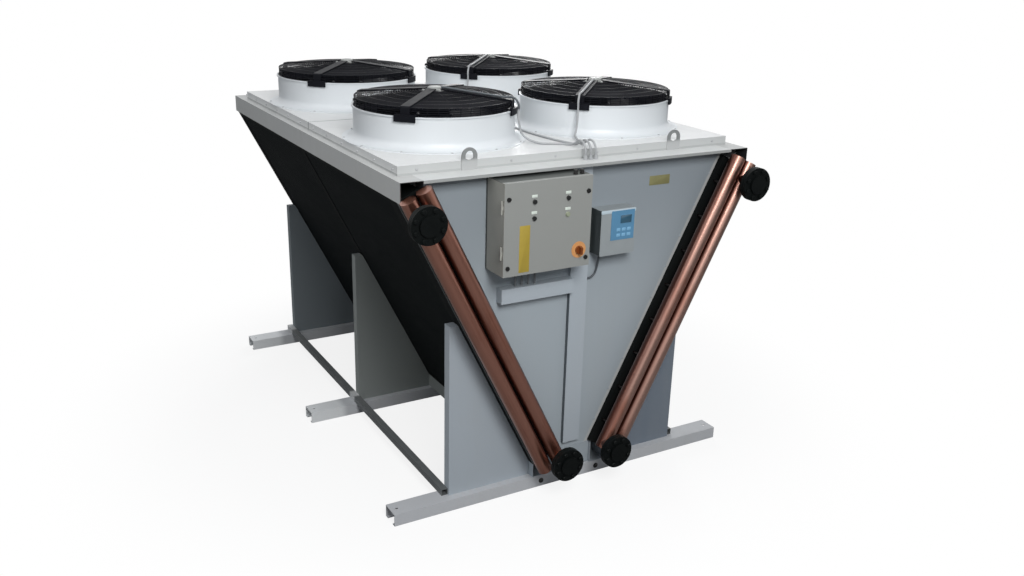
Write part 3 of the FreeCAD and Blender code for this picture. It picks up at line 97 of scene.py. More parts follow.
FRONT_FACE, REAR_FACE = reach("front_panel", Y)[0], reach("rear_panel", Y)[1]
DECK_FRONT, DECK_TOP = reach("deck_strips", Y)[0], reach("deck_strips", Z)[1]
RIM_SIDE = reach("deck_rim_right", X)[1]
PANEL_FRONT, PANEL_SIDE = reach("deck_panel_front", Y)[0], reach("deck_panel_front", X)[1]
PANEL_MIDDLE_Z = middle("deck_panel_front", Z)
SEAM_Y = round((reach("deck_panel_front", Y)[1] + reach("deck_panel_rear", Y)[0]) / 2, 5)
RIM_Z = reach("fan_cowl_front_left", Z)[1]
FAN_WORDS = ["front_left", "front_right", "rear_left", "rear_right"]
FAN_CENTRES = [(middle("fan_cowl_" + word, X), middle("fan_cowl_" + word, Y)) for word in FAN_WORDS]
LEAN = math.radians(26.7)
print("fans at", FAN_CENTRES, "deck top", DECK_TOP, "front face", FRONT_FACE)

# %% [markdown]
# Shader maths is far easier to read as an expression than as a list of nodes and links. The class
# below wraps one output socket. Adding or multiplying two of them adds a Math node behind the scenes,
# so stripes or streaks can be written almost as on paper. A comparison gives a mask of zeros and ones.

# %% Sockets that can be added and multiplied
class Wire:
    """An output socket that takes part in ordinary arithmetic."""

    def __init__(self, tree, socket):
        self.tree = tree
        self.socket = socket

    def math(self, operation, *values):
        """A Math node that gets the values in their order."""
        node = self.tree.nodes.new("ShaderNodeMath")
        node.operation = operation
        for place, value in zip(node.inputs, values):
            if isinstance(value, Wire):
                self.tree.links.new(value.socket, place)
            else:
                place.default_value = value
        return Wire(self.tree, node.outputs[0])

    def __add__(self, other):
        return self.math("ADD", self, other)

    def __sub__(self, other):
        return self.math("SUBTRACT", self, other)

    def __rsub__(self, other):
        return self.math("SUBTRACT", other, self)

    def __mul__(self, other):
        return self.math("MULTIPLY", self, other)

    def __gt__(self, other):
        return self.math("GREATER_THAN", self, other)

    def __lt__(self, other):
        return self.math("LESS_THAN", self, other)

    __radd__ = __add__
    __rmul__ = __mul__

    def either(self, other):
        """The larger of two masks, which covers what one of them covers."""
        return self.math("MAXIMUM", self, other)

    def size(self):
        return self.math("ABSOLUTE", self)

    def root(self):
        return self.math("SQRT", self)

    def at_most(self, limit):
        return self.math("MINIMUM", self, limit)

    def wave(self, length):
        """Sine of a distance, one period per length, from 0 to 1."""
        return self.math("SINE", self * (2 * math.pi / length)) * 0.5 + 0.5


print("sockets take part in arithmetic")

# %% [markdown]
# All other nodes, of the materials and of the world alike, come from one method. It takes a node's
# type, its settings and the values of its sockets, in the order in which one would fill them in by hand.

# %% A tree that makes its nodes
class Nodes:
    """A node tree with one method for every kind of node."""

    def __init__(self, tree):
        self.tree = tree

    def node(self, kind, settings=(), inputs=(), output=0):
        """One node: its settings first, then the values or wires of its sockets."""
        made = self.tree.nodes.new(kind)
        for key, value in dict(settings).items():
            setattr(made, key, value)
        for key, value in dict(inputs).items():
            if isinstance(value, Wire):
                self.tree.links.new(value.socket, made.inputs[key])
            else:
                made.inputs[key].default_value = value
        return Wire(self.tree, made.outputs[output])

    def show(self, output_node, wire):
        """Let the tree's own output node show a shader."""
        self.tree.links.new(wire.socket, self.tree.nodes[output_node].inputs["Surface"])


print("trees make their nodes")

# %% [markdown]
# A finish is one Principled shader and the nodes that feed it. Every pattern reads Object coordinates.
# Each piece lies at the origin, so these are metres in the machine's own frame, and a mask can name a
# real place such as the front edge of the deck.

# %% A material under construction
class Finish(Nodes):
    """A Principled material and short names for the nodes that vary it."""

    def __init__(self, name, color, roughness, metallic=0.0, coat=0.0, shine=0.5):
        self.material = bpy.data.materials.new(name)
        self.material.use_nodes = True
        super().__init__(self.material.node_tree)
        self.shader = self.tree.nodes["Principled BSDF"]
        self.shader.inputs["Base Color"].default_value = (*color, 1)
        self.shader.inputs["Roughness"].default_value = roughness
        self.shader.inputs["Metallic"].default_value = metallic
        self.shader.inputs["Coat Weight"].default_value = coat
        self.shader.inputs["Specular IOR Level"].default_value = shine
        self.split = None

    def place(self):
        return self.node("ShaderNodeTexCoord", output=3)

    def axis(self, number):
        """One coordinate of the place. All three come from one Separate XYZ node."""
        if self.split is None:
            self.split = self.node("ShaderNodeSeparateXYZ", inputs={0: self.place()}).socket.node
        return Wire(self.tree, self.split.outputs[number])

    x = property(lambda self: self.axis(X))
    y = property(lambda self: self.axis(Y))
    z = property(lambda self: self.axis(Z))

    def slope(self):
        """Distance up the lean of a coil, the same for either side."""
        return self.x.size() * math.sin(LEAN) + self.z * math.cos(LEAN)

    def depth(self):
        """Distance outwards through a coil, the same for either side."""
        return self.x.size() * math.cos(LEAN) - self.z * math.sin(LEAN)

    def point(self, x, y, z):
        return self.node("ShaderNodeCombineXYZ", inputs={0: x, 1: y, 2: z})

    def noise(self, scale, detail=2.0, stretch=(1, 1, 1), where=None):
        """Smooth noise from 0 to 1 with about `scale` features a metre."""
        spot = self.node("ShaderNodeMapping", inputs={"Vector": where or self.place(), "Scale": stretch})
        return self.node("ShaderNodeTexNoise", inputs={"Vector": spot, "Scale": scale, "Detail": detail})

    def band(self, value, low, high):
        """A mask that rises from 0 at low to 1 at high."""
        return self.node("ShaderNodeMapRange", {"interpolation_type": "SMOOTHSTEP"},
                         {"Value": value, "From Min": low, "From Max": high})

    def mix(self, share, first, second):
        """Colour between two colours, given as numbers or as wires."""
        first = first if isinstance(first, Wire) else (*first, 1)
        second = second if isinstance(second, Wire) else (*second, 1)
        return self.node("ShaderNodeMix", {"data_type": "RGBA"}, {0: share, 6: first, 7: second}, output=2)

    def lay(self, color, patches):
        """The colour with each patch laid over it where that patch's mask is 1."""
        for mask, shade in patches:
            color = self.mix(mask(self), color, shade)
        return color

    def feed(self, name, wire):
        self.tree.links.new(wire.socket, self.shader.inputs[name])

    def bump(self, height, depth, strength=1.0):
        """Relief of the given depth in metres where height goes from 0 to 1."""
        inputs = {"Height": height, "Distance": depth, "Strength": strength}
        self.feed("Normal", self.node("ShaderNodeBump", inputs=inputs))


print("finish helpers ready")

# %% [markdown]
# Most of the machine is sheet steel with a baked powder coat. Up close such a coat has a fine orange
# peel, and outdoors it gathers a little dust and faint streaks where rain ran down. A single colour
# would look like plastic, so each colour is mixed with a slightly darker and duller version of itself.
# Making one function for all of them keeps the family alike, as parts from one coating line are.

# %% Powder coat
DUST = (0.324, 0.315, 0.288)


def toned(color, share):
    """The colour made darker by a share below 1, or lighter by one above it."""
    return tuple(c * share for c in color)


def powder_coat(name, color, roughness=0.42, grime=0.10, peel=0.00012, shine=0.5, patches=()):
    finish = Finish(name, color, roughness, shine=shine)
    cloud = finish.noise(1.7, detail=4.0)
    streak = finish.noise(9.0, detail=3.0, stretch=(1, 1, 0.08))
    dirt = finish.band(cloud * 0.6 + streak * 0.4, 0.42, 0.72) * grime
    speck = finish.band(finish.noise(160.0), 0.68, 0.78) * (grime * 0.8)
    clean = finish.mix(finish.noise(0.9), toned(color, 1.03), toned(color, 0.97))
    finish.feed("Base Color", finish.lay(finish.mix(dirt + speck, clean, DUST), patches))
    finish.feed("Roughness", dirt * 1.6 + finish.noise(40.0) * 0.08 + (roughness - 0.04))
    finish.bump(finish.noise(420.0, detail=1.0), peel)
    return finish.material


print("powder coat ready")

# %% [markdown]
# Where part of a piece has another colour, such as a joint, a painted shade or a painted highlight, a
# patch lays that colour over the first. It is a mask made from the place on the machine, and the colour
# that shows where the mask is 1. On the deck these are painted shade on the front edges, in the open
# rim ends, at the foot and front of the fan panels' lips and inside the fans' throats, the joint between
# the fan modules and a darker band on the bows of the lifting lugs. A soft mask has a pair of numbers,
# which say where it begins and where it is full.

# %% Patches of the deck and the fans
SHEET, MARGIN, FACE_DEPTH = 0.003, 0.0005, 0.0008
LIP_SHADOW_HEIGHT, JOINT_HALF_WIDTH = 0.010, 0.008
SHADE_AND_JOINT_SHARE, LIP_SHADE_SHARE = 0.85, 0.60
RIM_END_DEPTH, THROAT_RADIUS, LUG_BOW = 0.005, 0.468, (2.035, 2.060)
FAN_ASIDE, FAN_ALONG = FAN_CENTRES[3][0], FAN_CENTRES[3][1] - SEAM_Y


def front_edge_shade(finish):
    """Painted shade on the front edges of the deck, as deep as the sheet is thick."""
    return finish.y < DECK_FRONT + SHEET + MARGIN


def rim_end_shade(finish):
    """Painted shade on the front edges of a side rim and inside its open end, over the headers."""
    open_end = finish.y < FRONT_FACE + RIM_END_DEPTH
    under_top = finish.z < DECK_TOP - SHEET - MARGIN
    behind_side = finish.x.size() < RIM_SIDE - SHEET + MARGIN
    return (open_end * under_top * behind_side).either(front_edge_shade(finish))


def seams_and_lip_shade(finish):
    """Painted shade on each panel's front lip and lip foot, and the joint between the fan modules."""
    foot = finish.z < DECK_TOP + LIP_SHADOW_HEIGHT
    joint = (finish.y - SEAM_Y).size() < JOINT_HALF_WIDTH
    front_lip = finish.y < PANEL_FRONT + FACE_DEPTH
    return (foot.either(joint) * SHADE_AND_JOINT_SHARE).either(front_lip * LIP_SHADE_SHARE)


def throat_shade(finish):
    """Painted shade inside a fan cowl. The four fans stand alike about the middle of the deck."""
    across = finish.x.size() - FAN_ASIDE
    along = (finish.y - SEAM_Y).size() - FAN_ALONG
    return across * across + along * along < THROAT_RADIUS * THROAT_RADIUS


def eye(finish):
    """The bow of a lifting lug."""
    return finish.band(finish.z, *LUG_BOW)


print("the throats reach", THROAT_RADIUS, "m round the fans' axes")

# %% [markdown]
# Lower down, everything behind the front legs is painted darker towards the rear, a painted shade
# under the coils. The ends of the middle and rear rails outside the legs are painted lighter, a painted
# light beyond that shade, and the tie bars are lighter where they cross the middle and rear rails. The
# outer edge of a coil's end plate gets a painted highlight.

# %% Patches of the coils, legs and rails
END_PLATE = round(reach("coil_fins_left", Y)[0] - SHEET, 5)
HIGHLIGHT_DEPTH, END_PLATE_FOLD = 0.1562, 0.006
FRONT_SHADE, REAR_SHADE = (-1.2, -0.4), (0.4, 1.4)
OUTSIDE_LEGS, ON_REAR_RAIL = (0.90, 0.96), (1.46, 1.50)
MIDDLE_RAIL_Y, OFF_MIDDLE_RAIL = 0.140, (0.030, 0.060)


def end_plate_highlight(finish):
    """A painted highlight along the outer edge of a coil's end plate."""
    return (finish.depth() > HIGHLIGHT_DEPTH) * (finish.y < END_PLATE + END_PLATE_FOLD)


def shade_behind_front(finish):
    """Painted shade on everything behind the front legs."""
    return finish.band(finish.y, *FRONT_SHADE)


def shade_towards_rear(finish):
    """Painted shade that gets deeper towards the rear legs."""
    return finish.band(finish.y, *REAR_SHADE)


def lit_rail_ends(finish):
    """Painted light on the ends of the middle and rear rails, outside the legs."""
    return (finish.y > FRONT_SHADE[0]) * finish.band(finish.x.size(), *OUTSIDE_LEGS)


def over_rails(finish):
    """The lengths of a tie bar at the middle rail and on the rear one."""
    off_middle = finish.band((finish.y - MIDDLE_RAIL_Y).size(), *OFF_MIDDLE_RAIL)
    return (1 - off_middle).either(finish.band(finish.y, *ON_REAR_RAIL))


print("the end plates are at", END_PLATE)

# %% [markdown]
# The front panel is painted darker towards the deck, a painted shade, and the folds along its slanted
# edges get a painted highlight. The left flank of the post gets a painted shade, the left flank of the
# cabinet is painted a lighter, warmer grey as painted light, and the joint between cabinet and panel and
# the back of the cabinet's top get a painted shadow.

# %% Patches of the front panel, post and cabinet
POST_SIDE, TRAY_FOOT = -0.058, 1.244
CABINET_SIDE, (CABINET_FOOT, CABINET_TOP) = -0.603, reach("cabinet_box", Z)
JOINT_SHADOW_DEPTH, TOP_SKIN, TOP_SHADOW_EDGE = 0.017, 0.0015, (-1.512, -1.500)
PANEL_SHADE, FOLD = (1.0, 1.9), (0.000, 0.006)


def panel_top_shade(finish):
    """Painted shade on the front panel that grows towards the deck."""
    return finish.band(finish.z, *PANEL_SHADE)


def fold_highlight(finish):
    """A painted highlight on the folded edges of the front panel along the coils."""
    return finish.band(finish.depth(), *FOLD) * 0.5


def post_flank_shade(finish):
    """Painted shade on the left flank of the centre post, below the tray."""
    return (finish.x < POST_SIDE + FACE_DEPTH) * (finish.z < TRAY_FOOT)


# Painted light: the cabinet's left flank is coloured a lighter, warmer grey than its front.
def cabinet_flank_light(finish):
    return finish.x < CABINET_SIDE + MARGIN


def cabinet_rear_shadow(finish):
    """Painted shadow along the joint at the back of the cabinet and on its top behind the front edge."""
    joint = finish.y > FRONT_FACE - JOINT_SHADOW_DEPTH
    top = (finish.z > CABINET_TOP - TOP_SKIN) * finish.band(finish.y, *TOP_SHADOW_EDGE)
    return joint.either(top) * 0.9


print("the cabinet stands from", CABINET_FOOT, "to", CABINET_TOP)

# %% [markdown]
# Now the coats themselves. A colour is given as it is, in linear numbers, because the studio light is
# set so that it renders about as it is written. Each key is a family of parts that is sprayed together.

# %% Coats of the families
SHADE_AND_JOINT_GREY, RIM_SHADOW_BLACK = (0.36, 0.375, 0.37), (0.016, 0.017, 0.018)
COATS = {
    "deck_white": powder_coat("deck_white", (0.68, 0.69, 0.69), 0.40, grime=0.10,
                              patches=[(seams_and_lip_shade, SHADE_AND_JOINT_GREY)]),
    "fan_white": powder_coat("fan_white", (0.66, 0.69, 0.71), 0.38, grime=0.06,
                             patches=[(throat_shade, (0.016, 0.017, 0.024))]),
    "rim_grey": powder_coat("rim_grey", (0.46, 0.47, 0.465), 0.45, grime=0.14,
                            patches=[(rim_end_shade, RIM_SHADOW_BLACK)]),
    "panel_grey": powder_coat("panel_grey", (0.320, 0.363, 0.395), 0.48, grime=0.12),
    "frame_grey": powder_coat("frame_grey", (0.350, 0.392, 0.430), 0.50, grime=0.16,
                              patches=[(shade_behind_front, (0.226, 0.245, 0.238)),
                                       (shade_towards_rear, (0.165, 0.189, 0.203))]),
    "rail_grey": powder_coat("rail_grey", (0.475, 0.490, 0.510), 0.48, grime=0.20,
                             patches=[(lit_rail_ends, (0.72, 0.74, 0.75))]),
    "casing_black": powder_coat("casing_black", (0.005, 0.006, 0.006), 0.65, grime=0.01, shine=0.05,
                                patches=[(end_plate_highlight, (0.15, 0.16, 0.16))]),
    "cabinet_grey": powder_coat("cabinet_grey", (0.262, 0.270, 0.258), 0.52, grime=0.06, peel=0.0002,
                                patches=[(cabinet_flank_light, (0.315, 0.315, 0.285)),
                                         (cabinet_rear_shadow, (0.030, 0.036, 0.034))]),
}
print("coats of families", sorted(COATS))

# %% [markdown]
# A few nodes are coloured unlike the rest of their family. The front panel and the ducts are a little
# paler. The right legs are painted dark, a painted shade under the right coil, and so are the tie bars,
# a painted shade under the machine. Each gets a coat of its own from the same function, which keeps
# dust and peel alike.

# %% Coats of single nodes
OWN_COATS = {
    "deck_strips": powder_coat("strip_white", (0.56, 0.575, 0.57), 0.42, grime=0.12,
                               patches=[(front_edge_shade, (0.31, 0.323, 0.318))]),
    "front_panel": powder_coat("front_grey", (0.345, 0.390, 0.422), 0.48, grime=0.12,
                               patches=[(panel_top_shade, (0.242, 0.274, 0.299)),
                                        (fold_highlight, (0.52, 0.50, 0.46))]),
    "cable_ducts": powder_coat("duct_grey", (0.385, 0.430, 0.468), 0.46, grime=0.10,
                               patches=[(post_flank_shade, (0.085, 0.100, 0.112))]),
    # The right legs are painted darker, a painted shade under the right coil.
    "legs_right": powder_coat("shaded_grey", (0.140, 0.170, 0.208), 0.50, grime=0.16),
    "lifting_lugs": powder_coat("lug_grey", (0.43, 0.44, 0.44), 0.45, grime=0.14,
                                patches=[(eye, (0.21, 0.22, 0.22))]),
    # The tie bars: painted shade under the machine, lighter where they cross the rails.
    "tie_bars": powder_coat("tie_grey", (0.105, 0.113, 0.115), 0.48, grime=0.14,
                            patches=[(over_rails, (0.50, 0.51, 0.51))]),
}
print("coats of single nodes", sorted(OWN_COATS))

# %% [markdown]
# Copper tube is drawn through a die, so it keeps faint lines along its length, and in the open it
# tarnishes unevenly from pink to brown. The pipes lean like the coils. The height above the floor and
# the distance from the middle are turned by that lean, so that the lines run along the pipe, and the
# absolute value of x lets one material serve both sides. The pair on the right is painted paler, a
# painted sheen. The inboard flank of each pipe is painted dark, a painted dark reflection, and the
# feeder stubs behind the pipes are painted near black, a painted shade.

# %% Copper of the headers
PIPE_MIDDLE, PIPE_SPREAD, PIPE_RADIUS = 0.0866, 0.049, 0.0445
FRESH_COPPER, LINED_COPPER, SHEEN_COPPER = (0.42, 0.195, 0.140), (0.35, 0.150, 0.105), (0.40, 0.235, 0.190)
TARNISHED, FLANK_REFLECTION_DARK, STUB_SHADE = (0.22, 0.085, 0.055), (0.085, 0.022, 0.012), (0.012, 0.005, 0.004)
DARK_FLANK = (-0.95 * PIPE_RADIUS, -0.30 * PIPE_RADIUS)
BEHIND_PIPES = (DECK_FRONT - 0.020, DECK_FRONT)


def drawn_copper(name):
    finish = Finish(name, (0.40, 0.19, 0.13), 0.32, metallic=1.0, coat=0.6)
    finish.shader.inputs["Coat Roughness"].default_value = 0.22
    depth = finish.depth()
    spot = finish.point(depth, finish.y, finish.slope())
    lines = finish.noise(70.0, detail=3.0, stretch=(1, 1, 0.02), where=spot)
    clouds = finish.noise(7.0, detail=5.0, stretch=(1, 1, 0.35), where=spot)
    tarnish = finish.band(clouds * 0.7 + lines * 0.3, 0.40, 0.68)
    left_pair = finish.mix(lines, FRESH_COPPER, LINED_COPPER)
    # The right pair gets a paler copper, a painted sheen of the light on it.
    color = finish.mix(tarnish, finish.mix(finish.x > 0, left_pair, SHEEN_COPPER), TARNISHED)
    from_middle = depth - PIPE_MIDDLE
    outer_pipe = from_middle > 0.0
    from_axis = from_middle - (outer_pipe * 2 - 1) * PIPE_SPREAD
    # The inboard flank of each pipe is painted dark, a painted dark reflection.
    flank_reflection = finish.band(from_axis + lines * 0.008, *DARK_FLANK)
    # The feeder stubs behind the pipes are painted near black, a painted shade.
    in_front = 1 - finish.band(finish.y, *BEHIND_PIPES)
    finish.feed("Base Color", finish.mix(in_front, STUB_SHADE, finish.mix(flank_reflection, FLANK_REFLECTION_DARK, color)))
    finish.feed("Roughness", tarnish * 0.20 + lines * 0.10 + 0.26)
    finish.bump(lines, 0.0002)
    return finish.material


COPPER = drawn_copper("copper")
print("copper ready")

# %% [markdown]
# The fins are black-coated aluminium with thousands of edges along the coil. Modelling them would cost
# millions of faces, so the edges are a ripple in the surface. Real ones stand some two millimetres
# apart. The ripple is twice as coarse, because a finer one would only flicker in a picture of the
# whole machine. The tube rows behind the fins show as faint bands across the lean.

# %% Fins of the coils
FIN_PITCH, TUBE_PITCH = 0.0042, 0.025


def finned_face(name):
    finish = Finish(name, (0.005, 0.006, 0.006), 0.65, shine=0.04)
    fins = finish.y.wave(FIN_PITCH)
    rows = finish.slope().wave(TUBE_PITCH)
    wear = finish.noise(5.0, detail=4.0, stretch=(1, 0.3, 1))
    paler = fins * 0.5 + rows * 0.2 + wear * 0.3
    finish.feed("Base Color", finish.mix(paler, (0.002, 0.003, 0.003), (0.009, 0.011, 0.012)))
    finish.feed("Roughness", wear * 0.25 + 0.52)
    finish.bump(fins * 0.8 + rows * 0.2, 0.0012, 0.6)
    return finish.material


FINS = finned_face("fins")
print("fins ready")

# %% [markdown]
# Castings and wire goods are dipped or sprayed black. The coat is thicker and a little glossy, with a
# coarse cast grain on the flanges and a smooth skin on the guards. Moulded plastics follow the same
# recipe with an even finer grain, so one function with a few values covers them all.

# %% Cast, dipped and moulded finishes
def skin(name, color, roughness, grain=0.0001, grain_scale=500.0, vary=0.12, coat=0.0, shine=0.5,
         patches=()):
    finish = Finish(name, color, roughness, coat=coat, shine=shine)
    cloud = finish.noise(14.0, detail=3.0)
    tone = finish.mix(cloud, toned(color, 1 - vary), toned(color, 1 + vary))
    finish.feed("Base Color", finish.lay(tone, patches))
    finish.feed("Roughness", cloud * 0.14 + (roughness - 0.07))
    finish.bump(finish.noise(grain_scale), grain)
    return finish.material


print("skin ready")

# %% [markdown]
# Small parts are often two things in one node: grey and dark cables, black and grey glands. Here again
# the place on the machine tells them apart. It also lays a painted shadow of the cabinet on the
# controller's left side.

# %% Patches of the small parts
BOX_SIDE = reach("controller_box", X)[0]
ARM_CABLE_Z, ARM_CABLE_X, LEAD_TOP = 2.235, -0.05, 1.60
BEHIND_EDGE, BELOW_DECK = 0.005, 0.015


def controller_flank_shadow(finish):
    """A painted shadow of the cabinet on the left side of the controller, which stands close to it."""
    return finish.x < BOX_SIDE + SHEET + MARGIN


def dark_sheath(finish):
    """The controller's lead and the cable on the front left fan's arm have a darker sheath."""
    on_arm = (finish.z > ARM_CABLE_Z) * (finish.x < ARM_CABLE_X) * (finish.y < 0.0)
    return on_arm.either(finish.z < LEAD_TOP)


def deck_gland(finish):
    """The glands that stand in the deck."""
    return (finish.y > DECK_FRONT + BEHIND_EDGE) * (finish.z > DECK_TOP - BELOW_DECK)


def stub(finish):
    """The short stubs between the cabinet and the tray."""
    return finish.z < CABINET_FOOT + 2 * MARGIN


print("the controller's left side is at", BOX_SIDE)

# %% [markdown]
# The skins, each with its colour, roughness, depth of grain in metres, fineness of grain and how much
# its colour varies. The blacks keep a low shine, because the photograph shows hardly a reflection.

# %% Skins of the castings, guards and plastics
SKINS = {
    "flange_black": skin("flange_black", (0.0035, 0.0045, 0.0045), 0.46, 0.0004, 260.0, 0.3, shine=0.08),
    "guard_black": skin("guard_black", (0.005, 0.0055, 0.008), 0.50, 0.0001, 300.0, 0.2, shine=0.10),
    "impeller_black": skin("impeller_black", (0.010, 0.011, 0.015), 0.45, 0.0002, 220.0, 0.25, shine=0.2),
    "gear_grey": skin("gear_grey", (0.30, 0.31, 0.30), 0.50),
    "lock_black": skin("lock_black", (0.008, 0.008, 0.008), 0.40),
    "button_black": skin("button_black", (0.012, 0.013, 0.013), 0.28, coat=0.3),
    "lamp_green": skin("lamp_green", (0.30, 0.33, 0.24), 0.18, 0.0001, 300.0, 0.1, coat=0.6),
    "plate_yellow": skin("plate_yellow", (0.60, 0.285, 0.105), 0.42, 0.00005, 300.0, 0.12),
    "knob_red": skin("knob_red", (0.17, 0.042, 0.008), 0.30, 0.0001, 400.0, 0.15, coat=0.3),
    "box_white": skin("box_white", (0.285, 0.312, 0.322), 0.42, 0.00015, 600.0, 0.05,
                      patches=[(controller_flank_shadow, (0.030, 0.038, 0.038))]),
    "keypad_blue": skin("keypad_blue", (0.095, 0.245, 0.40), 0.34, 0.00005, 700.0, 0.08, coat=0.2),
    "cable_grey": skin("cable_grey", (0.33, 0.34, 0.35), 0.50, 0.0002, 200.0, 0.15,
                       patches=[(dark_sheath, (0.070, 0.080, 0.090))]),
    "gland_black": skin("gland_black", (0.010, 0.010, 0.010), 0.42,
                        patches=[(deck_gland, (0.36, 0.37, 0.38)), (stub, (0.16, 0.17, 0.18))]),
}
print("skins", sorted(SKINS))

# %% [markdown]
# Every CAD node names the material slot it belongs to in the record. The slots of one name share one
# finish, which is how the real machine is painted: by part family and not piece by piece. A node with
# a coat of its own takes that one.

# %% Put the finishes on the CAD pieces
SLOT_FINISH = {**COATS, **SKINS, "copper": COPPER, "coil_black": FINS}
for part in frame["record"]["subparts"]:
    for place in nodes[part["node"]].material_slots:
        place.material = OWN_COATS.get(part["node"], SLOT_FINISH[part["material_slot"]])

# %% [markdown]
# New pieces start as a bmesh, the mesh in Blender's editing form. The helper below closes the work:
# it makes the faces point outwards, marks sharp corners and shades the rest smooth, gives the piece
# its finish and lets it ride on a CAD body. Its object stays at the origin, and its place is in the mesh.

# %% From a bmesh to a piece
SHARP_ANGLE = math.radians(35)


def add_piece(name, bm, body, slot_name, material=None):
    bmesh.ops.recalc_face_normals(bm, faces=bm.faces)
    mesh = bpy.data.meshes.new(name)
    bm.to_mesh(mesh)
    bm.free()
    mesh.shade_smooth()
    mesh.set_sharp_from_angle(angle=SHARP_ANGLE)
    mesh.materials.append(material or SLOT_FINISH[slot_name])
    piece = bpy.data.objects.new(name, mesh)
    bpy.context.scene.collection.objects.link(piece)
    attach(piece, body)
    print(name, len(mesh.polygons), "faces")


def facing(direction):
    """Rotation that turns +Z to a direction."""
    return Vector((0, 0, 1)).rotation_difference(Vector(direction)).to_matrix().to_4x4()


def in_a_row(first, step, count):
    return [first + step * i for i in range(count)]


def around(centre, radius, count, first=0.0):
    """Points evenly spaced on a circle in a plane, from a first angle in degrees."""
    turns = [math.radians(first + 360 / count * i) for i in range(count)]
    return [(centre[0] + radius * math.cos(turn), centre[1] + radius * math.sin(turn)) for turn in turns]


print("pieces start as a bmesh")

# %% [markdown]
# Sheet-metal machines are held by hundreds of hexagon screws. Each one here is a washer, a head and the
# chamfer on its rim, made by three cone operators, and all the screws of a group share one mesh. A few
# dozen faces each are enough at this size.

# %% Hexagon screws
BARE_STEEL = skin("screw_steel", (0.46, 0.47, 0.48), 0.40, 0.0001, 300.0, 0.2)
BARE_STEEL.node_tree.nodes["Principled BSDF"].inputs["Metallic"].default_value = 0.5
WASHER_SHARE = 0.22


def add_screw(bm, place, direction, radius, height):
    """A washer and a hexagon head standing on a surface at place."""
    outwards = Vector(direction).normalized()
    washer = WASHER_SHARE * height
    head = height - washer
    stack = [(16, 1.35 * radius, 1.30 * radius, 0, washer),
             (6, radius, radius, washer, 0.75 * head),
             (6, radius, 0.82 * radius, washer + 0.75 * head, 0.25 * head)]
    for sides, foot, top, start, depth in stack:
        centre = Vector(place) + outwards * (start + depth / 2)
        bmesh.ops.create_cone(bm, cap_ends=True, segments=sides, radius1=foot, radius2=top, depth=depth,
                              matrix=Matrix.Translation(centre) @ facing(direction))


def screw_group(name, places, direction, radius, height, slot_name="rim_grey", material=BARE_STEEL):
    bm = bmesh.new()
    for place in places:
        add_screw(bm, place, direction, radius, height)
    add_piece(name, bm, "frame", slot_name, material)


print("screws ready")

# %% [markdown]
# Where the screws go follows from how the machine is bolted. The first groups hold the fan panels by
# their lips. The slanted edges of the front and rear panels have smaller ones, which were painted over
# together with the sheet. A screw's size is its radius and its height.

# %% Screws of the deck and the panels
SMALL_SCREW, PAINTED_SCREW = (0.0055, 0.005), (0.0045, 0.0035)
SIDE_LIP_Y, FRONT_LIP_X = in_a_row(-1.22, 0.245, 12), in_a_row(-0.98, 0.28, 8)
EDGE_Z = in_a_row(0.36, 0.185, 9)
FOOT_HALF_WIDTH, FOOT_Z, EDGE_INSET = 0.140, 0.228, 0.022

for side, word in ((-1, "left"), (1, "right")):
    lip = [(side * PANEL_SIDE, y, PANEL_MIDDLE_Z) for y in SIDE_LIP_Y]
    screw_group("panel_screws_" + word, lip, (side, 0, 0), *SMALL_SCREW)
lip = [(x, PANEL_FRONT, PANEL_MIDDLE_Z) for x in FRONT_LIP_X]
screw_group("panel_screws_front", lip, (0, -1, 0), *SMALL_SCREW)

edge = []
for z in EDGE_Z:
    half = FOOT_HALF_WIDTH + (z - FOOT_Z) * math.tan(LEAN) - EDGE_INSET
    edge += [(-half, z), (half, z)]
for word, face, way in (("front", FRONT_FACE, -1), ("rear", REAR_FACE, 1)):
    screw_group(word + "_panel_screws", [(x, face, z) for x, z in edge], (0, way, 0), *PAINTED_SCREW,
                slot_name="panel_grey", material=COATS["panel_grey"])

# %% [markdown]
# The legs stand on the rails with three bolts each, and two black ones close the holes in the front
# rail. The cowls have a ring of screws through their feet.

# %% Screws of the legs, the front rail and the cowls
LEG_BOLT, RAIL_BOLT = (0.012, 0.011), (0.0125, 0.010)
LEG_FRONTS, LEG_FLANGE_TOP = (-1.308, 0.106, 1.520), 0.077
LEG_BOLT_X, BOLT_BEHIND_FRONT = (0.34, 0.55, 0.74), 0.032
RAIL_FRONT, RAIL_BOLT_X, RAIL_BOLT_Z = reach("floor_rail_front", Y)[0], 0.200, 0.037
COWL_SCREW_CIRCLE, COWL_SCREWS, COWL_FOOT_TOP = 0.5255, 12, 2.049

feet = []
for front in LEG_FRONTS:
    for side in (-1, 1):
        feet += [(side * x, front + BOLT_BEHIND_FRONT, LEG_FLANGE_TOP) for x in LEG_BOLT_X]
screw_group("leg_screws", feet, (0, 0, 1), *LEG_BOLT, slot_name="frame_grey")

bolts = [(side * RAIL_BOLT_X, RAIL_FRONT, RAIL_BOLT_Z) for side in (-1, 1)]
screw_group("rail_bolts", bolts, (0, -1, 0), *RAIL_BOLT, slot_name="lock_black",
            material=SKINS["lock_black"])

cowl_feet = []
for centre in FAN_CENTRES:
    circle = around(centre, COWL_SCREW_CIRCLE, COWL_SCREWS, first=15)
    cowl_feet += [(x, y, COWL_FOOT_TOP) for x, y in circle]
screw_group("cowl_screws", cowl_feet, (0, 0, 1), *SMALL_SCREW, slot_name="fan_white")

# %% [markdown]
# The blank covers close the pipe ends until the plant is piped up. Eight black bolts go through each
# cover and its flange, with nuts behind. They stand on the standard 160 mm circle.

